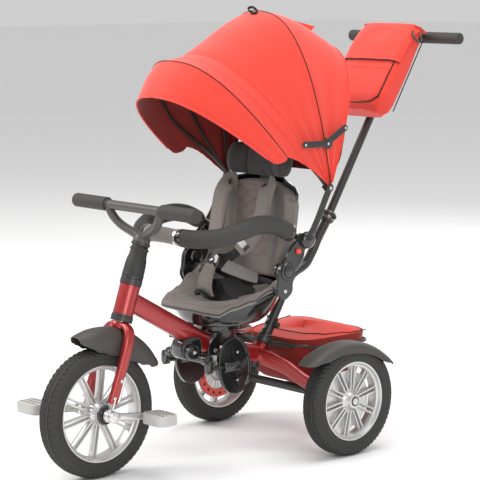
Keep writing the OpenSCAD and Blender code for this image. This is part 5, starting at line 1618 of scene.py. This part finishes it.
def hood_point(key, u, inset=0.0):
    """Point on the hood: key runs from visor hem to rear, u from right hem to left hem."""
    lean, a, b, n, dy, dz = section_at(key)
    hem = table(FEET, key)
    w = math.radians(lerp(180 - hem, hem, (u + 1) / 2))
    sag = 0.0
    for lo, hi, depth in ((FRONT_BOW, MIDDLE_BOW, 3.5), (MIDDLE_BOW, REAR_BOW, 4)):
        if lo < key < hi:
            sag = depth * math.sin(math.pi * (key - lo) / (hi - lo)) * (0.55 + 0.45 * math.sin(w))
    fold = noise.noise(Vector((key * 0.06, u * 2.2, 7.3))) * 2.2
    fold += noise.noise(Vector((key * 0.17, u * 6, 1.3))) * 0.8
    low = 1 - math.sin(w)
    fold += low ** 2.4 * 2.6 * math.sin(key * 0.5 + 1.1 + u * 3)
    edge = min(1, (key - VISOR_HEM) / 6, (REAR_BOW - key) / 4)
    r = -sag + fold * max(0, edge) - inset
    x = (a + r) * blunt(math.cos(w), n)
    up = (b + r) * max(0, math.sin(w)) ** (2 / n)
    g = math.radians(lean)
    return at(x, HOOD_PIVOT[0] + dy + up * math.sin(g), HOOD_PIVOT[1] + dz + up * math.cos(g))


def hood_line(key, steps, lift):
    """Line across the hood, from hem to hem, lifted a little off its cloth."""
    return [hood_point(key, k / steps - 1, -lift) for k in range(2 * steps + 1)]


def hood_panel(a0, a1, rows, extra=()):
    """Sheet between two sections, with beads along its hems and seams."""
    grid = [[hood_point(lerp(a0, a1, i / rows), k / 40 - 1) for k in range(81)] for i in range(rows + 1)]
    thick = bpy.context.scene.tricycle_sizes.cloth_thickness / MM
    # The underside of each hood panel is given the darker copy of the coral cloth: painted shade.
    s = Shape().sheet(grid, thick, 0, 1)
    for key, radius, slot in extra:
        s.sweep(hood_line(key, 60, 0.2), oval(radius, radius, 8), AXIS_X, slot)
    return s


def build_hood():
    """Hood cloth in three panels over its bows, with seams, hem, tabs and links."""
    mats = ["coral cloth", "coral cloth in painted shade", "dark thread", "coral thread", "black webbing"]
    top = {key: hood_point(key, 0) for key in (REAR_BOW, MIDDLE_BOW, FRONT_BOW, VISOR_BOW)}
    visor = hood_panel(VISOR_HEM, FRONT_BOW, 52, ((VISOR_HEM, 2.0, 0), (VISOR_BOW, 1.2, 2)))
    front_panel = hood_panel(FRONT_BOW, MIDDLE_BOW, 24, ((MIDDLE_BOW, 1.2, 2),))
    for panel, key in ((visor, -64), (visor, -45), (front_panel, -38.4)):
        stitches(panel, hood_line(key, 70, 0.1), 3, 3.4, 2.4, 0.45)
    rear = hood_panel(MIDDLE_BOW, REAR_BOW, 20, ((REAR_BOW, 2.2, 0),))
    fin = []
    for h in range(5):
        row = []
        for i in range(9):
            t = i / 8
            foot = hood_point(lerp(2, 11, t), lerp(0.02, 0.12, t), 1)
            row.append(foot + Vector((0, 0.012 * h / 4 * t ** 2, 0.011 * h / 4 * t ** 1.6)))
        fin.append(row)
    rear.sheet(fin, 1.2, 0, 0)
    knot = hood_point(-9.6, 0.02, -3.0)
    for w0 in (0.35, 2.79):
        loop = []
        for i in range(11):
            t = math.pi * i / 10
            bow = (math.cos(w0) * 14 * math.sin(t), 4 * math.sin(2 * t), 6.82 * (1 - math.cos(t)))
            loop.append(knot + Vector(bow) * MM)
        front_panel.sweep(loop, oval(3.2, 1.3, 10), (0, 1, 0), 4)
    middle_knot = [knot + Vector((x, 0, z)) * MM for x, z in ((-4, -2), (0, 2), (4, -2))]
    front_panel.sweep(middle_knot, oval(3, 2, 10), (0, 1, 0), 4)
    for name, shape, a, b, sa, sb, flat, area in (
        ("hood_panel_rear", rear, "seat", "hood_middle", top[REAR_BOW], top[MIDDLE_BOW], (0.93, 0.17), 0.095),
        ("hood_panel_front", front_panel, "hood_middle", "hood_front", top[MIDDLE_BOW], top[FRONT_BOW],
         (0.98, 0.23), 0.122),
        ("hood_visor", visor, "hood_front", "hood_visor", top[FRONT_BOW], top[VISOR_BOW],
         (1.03, 0.22), 0.116),
    ):
        obj = make(name, shape, mats, None, (), 75)
        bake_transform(obj)
    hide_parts("hood_cloth")

    curtain = Shape()
    grid = []
    for i in range(19):
        t = i / 18
        row = []
        for k in range(41):
            u = (k / 20 - 1) * 0.86
            p = hood_point(19.5, u, 3)
            y, z = (p.y - AXLE_Y) / MM, p.z / MM
            billow = (14 + 2.5 * math.sin(k * 0.9)) * math.sin(math.pi * t)
            row.append(at(p.x / MM * lerp(1, 0.96, t), lerp(y, 556, t ** 0.9) + billow, lerp(z, 640, t)))
        grid.append(row)
    curtain.sheet(grid, 1.2, 0, 0)
    curtain.sweep(grid[-1], oval(1.6, 1.6, 8), AXIS_X, 0)
    # The rear curtain is all in the darker copy of the coral cloth: painted shade.
    obj = make("hood_curtain", curtain, ["coral cloth in painted shade", "dark thread"], "seat", (), 75)

    stems = Shape()
    for side in (LEFT, RIGHT):
        path = smooth_path([at(side * 175, y, z) for y, z in
                            ((474, 508), (482, 518), (500, 548), (518, 582), HOOD_PIVOT)], 5)
        stems.sweep(path, oval(8.6, 3, 20, 3), AXIS_X, 0)
        stems.lathe([(172, 8.6), (172.6, 9.6), (177.6, 9.6), (178.4, 8.4), (178.8, 3)],
                    at(0, *HOOD_PIVOT), AXIS_X * side, 36, 0)
        stems.tube([at(side * 154, *HOOD_PIVOT), at(side * 172, *HOOD_PIVOT)], 3.95, 18)
        stems.bolt(at(side * 178.4, *HOOD_PIVOT), AXIS_X * side, 4, 1.6, 1)
    for name, key, inset, node_name, body in (
        ("hood_rear_bow", REAR_BOW, 5.5, "hood_stems", "seat"),
        ("hood_middle_bow", MIDDLE_BOW, 12.5, "hood_bow_middle", "hood_middle"),
        ("hood_front_bow", FRONT_BOW, 9.0, "hood_bow_front", "hood_front"),
        ("hood_visor_bow", VISOR_BOW, 8.5, "hood_bow_visor", "hood_visor"),
    ):
        fixed = key == REAR_BOW
        s = stems if fixed else Shape()
        lean, a, b, n, dy, dz = section_at(key)
        g = math.radians(lean)
        pts = []
        for i in range(61):
            w = math.pi * i / 60
            fade = ease(math.sin(w) / 0.5)
            x = (a - inset) * blunt(math.cos(w), n)
            up = (b - inset) * max(0.0, math.sin(w)) ** (2 / n)
            if fixed:
                up = max(up, 6)
            y = HOOD_PIVOT[0] + dy * fade + up * math.sin(g)
            pts.append(at(x, y, HOOD_PIVOT[1] + dz * fade + up * math.cos(g)))
        plane = Vector((0, math.cos(g), -math.sin(g)))
        s.sweep(pts, [(v, u) for u, v in oval(3.9, 1.95, 16, 3.5)], tuple(plane), 0)
        if not fixed:
            for side in (LEFT, RIGHT):
                m = a - inset
                s.lathe([(m - 2, 4.1), (m - 2, 8.2), (m - 1.6, 8.9), (m + 1.6, 8.9), (m + 2, 8.2),
                         (m + 2, 4.1)],
                        at(0, *HOOD_PIVOT), AXIS_X * side, 32, 0)
        make(name, s, ["satin black", "zinc"], body, node_name)

    elbow = (508, 709)
    for name, a, b, x, node_name, body in (
        ("hood_link_rear", elbow, (566, 741), 188, "hood_links_rear", "links_rear"),
        ("hood_link_front", (438, 710), elbow, 192.6, "hood_links_front", "links_front"),
    ):
        s = Shape()
        for side in (LEFT, RIGHT):
            mid = ((a[0] + b[0]) / 2, (a[1] + b[1]) / 2)
            path = [at(side * x, *a), at(side * x, *mid), at(side * x, *b)]
            s.sweep(path, oval(7.6, 2.0, 18, 4), AXIS_X, 0)
            for c in (a, b):
                r = 12.4 if c == elbow else 7.4
                s.lathe([(x - 2, r - 1), (x - 1.6, r), (x + 1.4, r), (x + 2, r - 0.8), (x + 2.2, r * 0.5)],
                        at(0, *c), AXIS_X * side, 32, 0)
                s.bolt(at(side * (x + 2), *c), AXIS_X * side, 3.0, 1.6, 1)
        make(name, s, ["satin black", "zinc"], body, node_name)


# ------------------------------------------------------------------ small parts


def build_small_parts():
    """Rear axle, brake pedal, bolts and remaining fittings."""
    s = Shape()
    s.tube([(-244, WHEELBASE, REAR_R), (244, WHEELBASE, REAR_R)], 5.95, 24, 0, (0, 0, 1), 1)
    for side in (LEFT, RIGHT):
        s.lathe([(198, 6), (198, 10), (201.4, 10), (201.4, 6)], at(0, WHEELBASE, REAR_R), AXIS_X * side, 6, 0)
    make("rear_axle_rod", s, "zinc", "frame", "rear_axle")
    b = Shape()
    b.lathe([(-124, 6.1), (-124, 9), (-123, 10), (123, 10), (124, 9), (124, 6.1)],
            at(0, WHEELBASE, REAR_R), AXIS_X, 32, 0)
    arm = smooth_path([at(0, 545, 126), at(0, 560, 123), at(0, 578, 117), at(0, 592, 114)], 4)
    b.sweep(arm, oval(8, 8.5, 20, 3), AXIS_X, 0)
    rings = []
    for z, k in ((110, 0.94), (111.5, 1), (116.5, 1), (118, 0.95)):
        rings.append([at(46 * blunt(math.cos(w), 4) * k, 604 + 17 * blunt(math.sin(w), 3) * k, z)
                      for w in [2 * math.pi * (i + 0.5) / 48 for i in range(48)]])
    b.loft(rings, 1)
    for x in (-30, -15, 0, 15, 30):
        b.sweep([at(x, 593, 118.2), at(x, 615, 118.2)], oval(1.4, 1.0, 8), (0, 0, 1), 1)
    make("brake_treadle", b, ["satin black", "bright red"], "brake", "brake_pedal")
    k = Shape()
    p = stem(50, 13.4)
    k.lathe([(0, 5), (1, 7), (12, 7), (14, 6.2), (15, 4), (15, 0.4)], p, AXIS_X, 24, 0,
            True, lambda a, r, i: -0.7 if r > 6.5 and i % 4 < 2 else 0)
    for side in (LEFT, RIGHT):
        k.bolt(at(side * 33.2, 250, 246), AXIS_X * side, 4.8, 5.2, 1)
        k.bolt(at(side * 169, 533, 102), AXIS_X * side, 5.8, 5.5, 1)
    make("frame_knob_and_bolts", k, ["satin black", "zinc"], "frame", "frame_bolts")


PIECES = (
    ("tyres", "Tyres", "Adds the three tyres", build_tyres),
    ("rims", "Rims", "Adds rims, clutch disc and brake rings", build_rims),
    ("cranks", "Cranks and pedals", "Adds the crank arms and pedals", build_cranks),
    ("frame", "Frame", "Adds the painted frame", build_frame),
    ("fork", "Fork", "Adds the fork, column sleeve and front mudguard", build_fork),
    ("mudguards", "Rear mudguards", "Adds the rear mudguards", build_rear_fenders),
    ("handlebar", "Handlebar", "Adds the handlebar and grips", build_handlebar),
    ("guard", "Guard bar", "Adds the padded guard bar", build_guard),
    ("push_handle", "Push handle", "Adds the push handle and its stem", build_push_handle),
    ("bag", "Storage bag", "Adds the bag and its flap", build_bag),
    ("basket", "Basket", "Adds the basket, cover and wire", build_basket),
    ("foot_plates", "Foot plates", "Adds the folding foot plates", build_foot_plates),
    ("seat", "Seat", "Adds the seat, arms and pillar", build_seat),
    ("backrest", "Backrest", "Adds the backrest, headrest and harness", build_backrest),
    ("hood", "Hood", "Adds the hood, bows and links", build_hood),
    ("small_parts", "Small parts", "Adds axle, brake and bolts", build_small_parts),
)


# ------------------------------------------------------------------ stage


CAMERA_AZIMUTH, CAMERA_HEIGHT = 48.01, 7.95
CAMERA_FAR, CAMERA_LENS, CAMERA_SENSOR = 4305.43, 142.5, 36.0
CAMERA_AIM = (0, 350, 450)
CAMERA_SLIDE = (-50.396, -36.71)


def build_stage():
    """Camera, floor, soft lights and a pale world."""
    scene = bpy.context.scene
    az, el = math.radians(CAMERA_AZIMUTH), math.radians(CAMERA_HEIGHT)
    back = Vector((math.sin(az) * math.cos(el), -math.cos(az) * math.cos(el), math.sin(el)))
    right = Vector((math.cos(az), math.sin(az), 0))
    up = back.cross(right)
    data = bpy.data.cameras.new("Camera")
    data.lens, data.sensor_width = CAMERA_LENS, CAMERA_SENSOR
    data.clip_end = 50
    cam = bpy.data.objects.new("Camera", data)
    scene.collection.objects.link(cam)
    place = at(*CAMERA_AIM) + back * CAMERA_FAR * MM - right * CAMERA_SLIDE[0] * MM
    place -= up * CAMERA_SLIDE[1] * MM
    cam.matrix_world = Matrix.Translation(place) @ Matrix((right, up, back)).transposed().to_4x4()
    scene.camera = cam
    scene.view_settings.view_transform = "Standard"

    for name, place, size, power, tint in (
        ("Key light", (-2.2, -2.6, 3.2), 2.2, 112, (1, 0.985, 0.96)),
        ("Fill light", (3.4, -1.6, 1.6), 2.2, 48, (0.97, 0.985, 1)),
        ("Top light", (0.4, 0.2, 3.6), 2.4, 78, (1, 1, 1)),
        ("Back light", (-1.2, 3.4, 2.2), 2.4, 30, (1, 1, 1)),
    ):
        light = bpy.data.lights.new(name, "AREA")
        light.size, light.energy, light.color = size, power, tint
        obj = bpy.data.objects.new(name, light)
        scene.collection.objects.link(obj)
        obj.location = place
        obj.rotation_euler = (Vector((0, 0, 0.45)) - Vector(place)).to_track_quat("-Z", "Y").to_euler()

    world = scene.world or bpy.data.worlds.new("World")
    scene.world = world
    world.use_nodes = True
    sky = world.node_tree.nodes["Background"]
    sky.inputs[0].default_value = (1, 1, 1, 1)
    sky.inputs[1].default_value = 0.62

    mesh = bpy.data.meshes.new("Floor")
    bm = bmesh.new()
    bmesh.ops.create_grid(bm, x_segments=1, y_segments=1, size=30)
    bm.to_mesh(mesh)
    bm.free()
    floor = bpy.data.objects.new("Floor", mesh)
    mat = bpy.data.materials.new("Pale floor")
    mat.use_nodes = True
    bsdf = mat.node_tree.nodes["Principled BSDF"]
    bsdf.inputs["Base Color"].default_value = (0.93, 0.93, 0.93, 1)
    bsdf.inputs["Roughness"].default_value = 0.9
    mesh.materials.append(mat)
    scene.collection.objects.link(floor)


# ------------------------------------------------------------------ add-on


class TricycleColours(bpy.types.PropertyGroup):
    """Colours of the painted and sewn parts."""

    cloth: bpy.props.FloatVectorProperty(
        name="Cloth", description="Hood, bag and basket cloth", default=CLOTH_RED,
        subtype="COLOR", min=0, max=1,
    )
    frame: bpy.props.FloatVectorProperty(
        name="Frame", description="Lacquer of the frame and fork", default=FRAME_RED,
        subtype="COLOR", min=0, max=1,
    )
    seat: bpy.props.FloatVectorProperty(
        name="Seat", description="Seat and backrest cloth", default=SEAT_TAUPE,
        subtype="COLOR", min=0, max=1,
    )


class TricycleSizes(bpy.types.PropertyGroup):
    """Sizes of details that a user may change."""

    cloth_thickness: bpy.props.FloatProperty(
        name="Cloth thickness", description="Thickness of the hood's cloth",
        default=1.4 * MM, min=0.8 * MM, max=3 * MM, unit="LENGTH",
    )
    tread_depth: bpy.props.FloatProperty(
        name="Tread depth", description="Depth of the grooves in the tyres",
        default=2.2 * MM, min=0, max=4 * MM, unit="LENGTH",
    )
    spokes: bpy.props.IntProperty(
        name="Spoke pairs", description="Pairs of spokes in each rim", default=10, min=5, max=12,
    )


def operator(suffix, label, doc, build):
    """Operator class that runs one builder."""

    def execute(self, context):
        build()
        return {"FINISHED"}

    return type(
        "TRICYCLE_OT_" + suffix, (bpy.types.Operator,),
        {"bl_idname": "tricycle." + suffix, "bl_label": label, "__doc__": doc, "execute": execute},
    )


BUILDERS = (
    ("stage", "Stage", "Adds the camera, floor and lights", build_stage),
) + PIECES
OPERATORS = [operator(*row) for row in BUILDERS]


class TRICYCLE_PT_panel(bpy.types.Panel):
    """Lists the builders and their settings."""

    bl_label = "Tricycle"
    bl_idname = "TRICYCLE_PT_panel"
    bl_space_type = "VIEW_3D"
    bl_region_type = "UI"
    bl_category = "Tricycle"

    def draw(self, context):
        for settings in (context.scene.tricycle_colours, context.scene.tricycle_sizes):
            for key in settings.__annotations__:
                self.layout.prop(settings, key)
        for cls in OPERATORS:
            self.layout.operator(cls.bl_idname)


CLASSES = [TricycleColours, TricycleSizes, *OPERATORS, TRICYCLE_PT_panel]


def register():
    for cls in CLASSES:
        bpy.utils.register_class(cls)
    bpy.types.Scene.tricycle_colours = bpy.props.PointerProperty(type=TricycleColours)
    bpy.types.Scene.tricycle_sizes = bpy.props.PointerProperty(type=TricycleSizes)


def unregister():
    del bpy.types.Scene.tricycle_colours
    del bpy.types.Scene.tricycle_sizes
    for cls in reversed(CLASSES):
        bpy.utils.unregister_class(cls)


def main():
    register()
    for suffix, *_ in BUILDERS:
        getattr(bpy.ops.tricycle, suffix)()


if __name__ == "__main__":
    main()
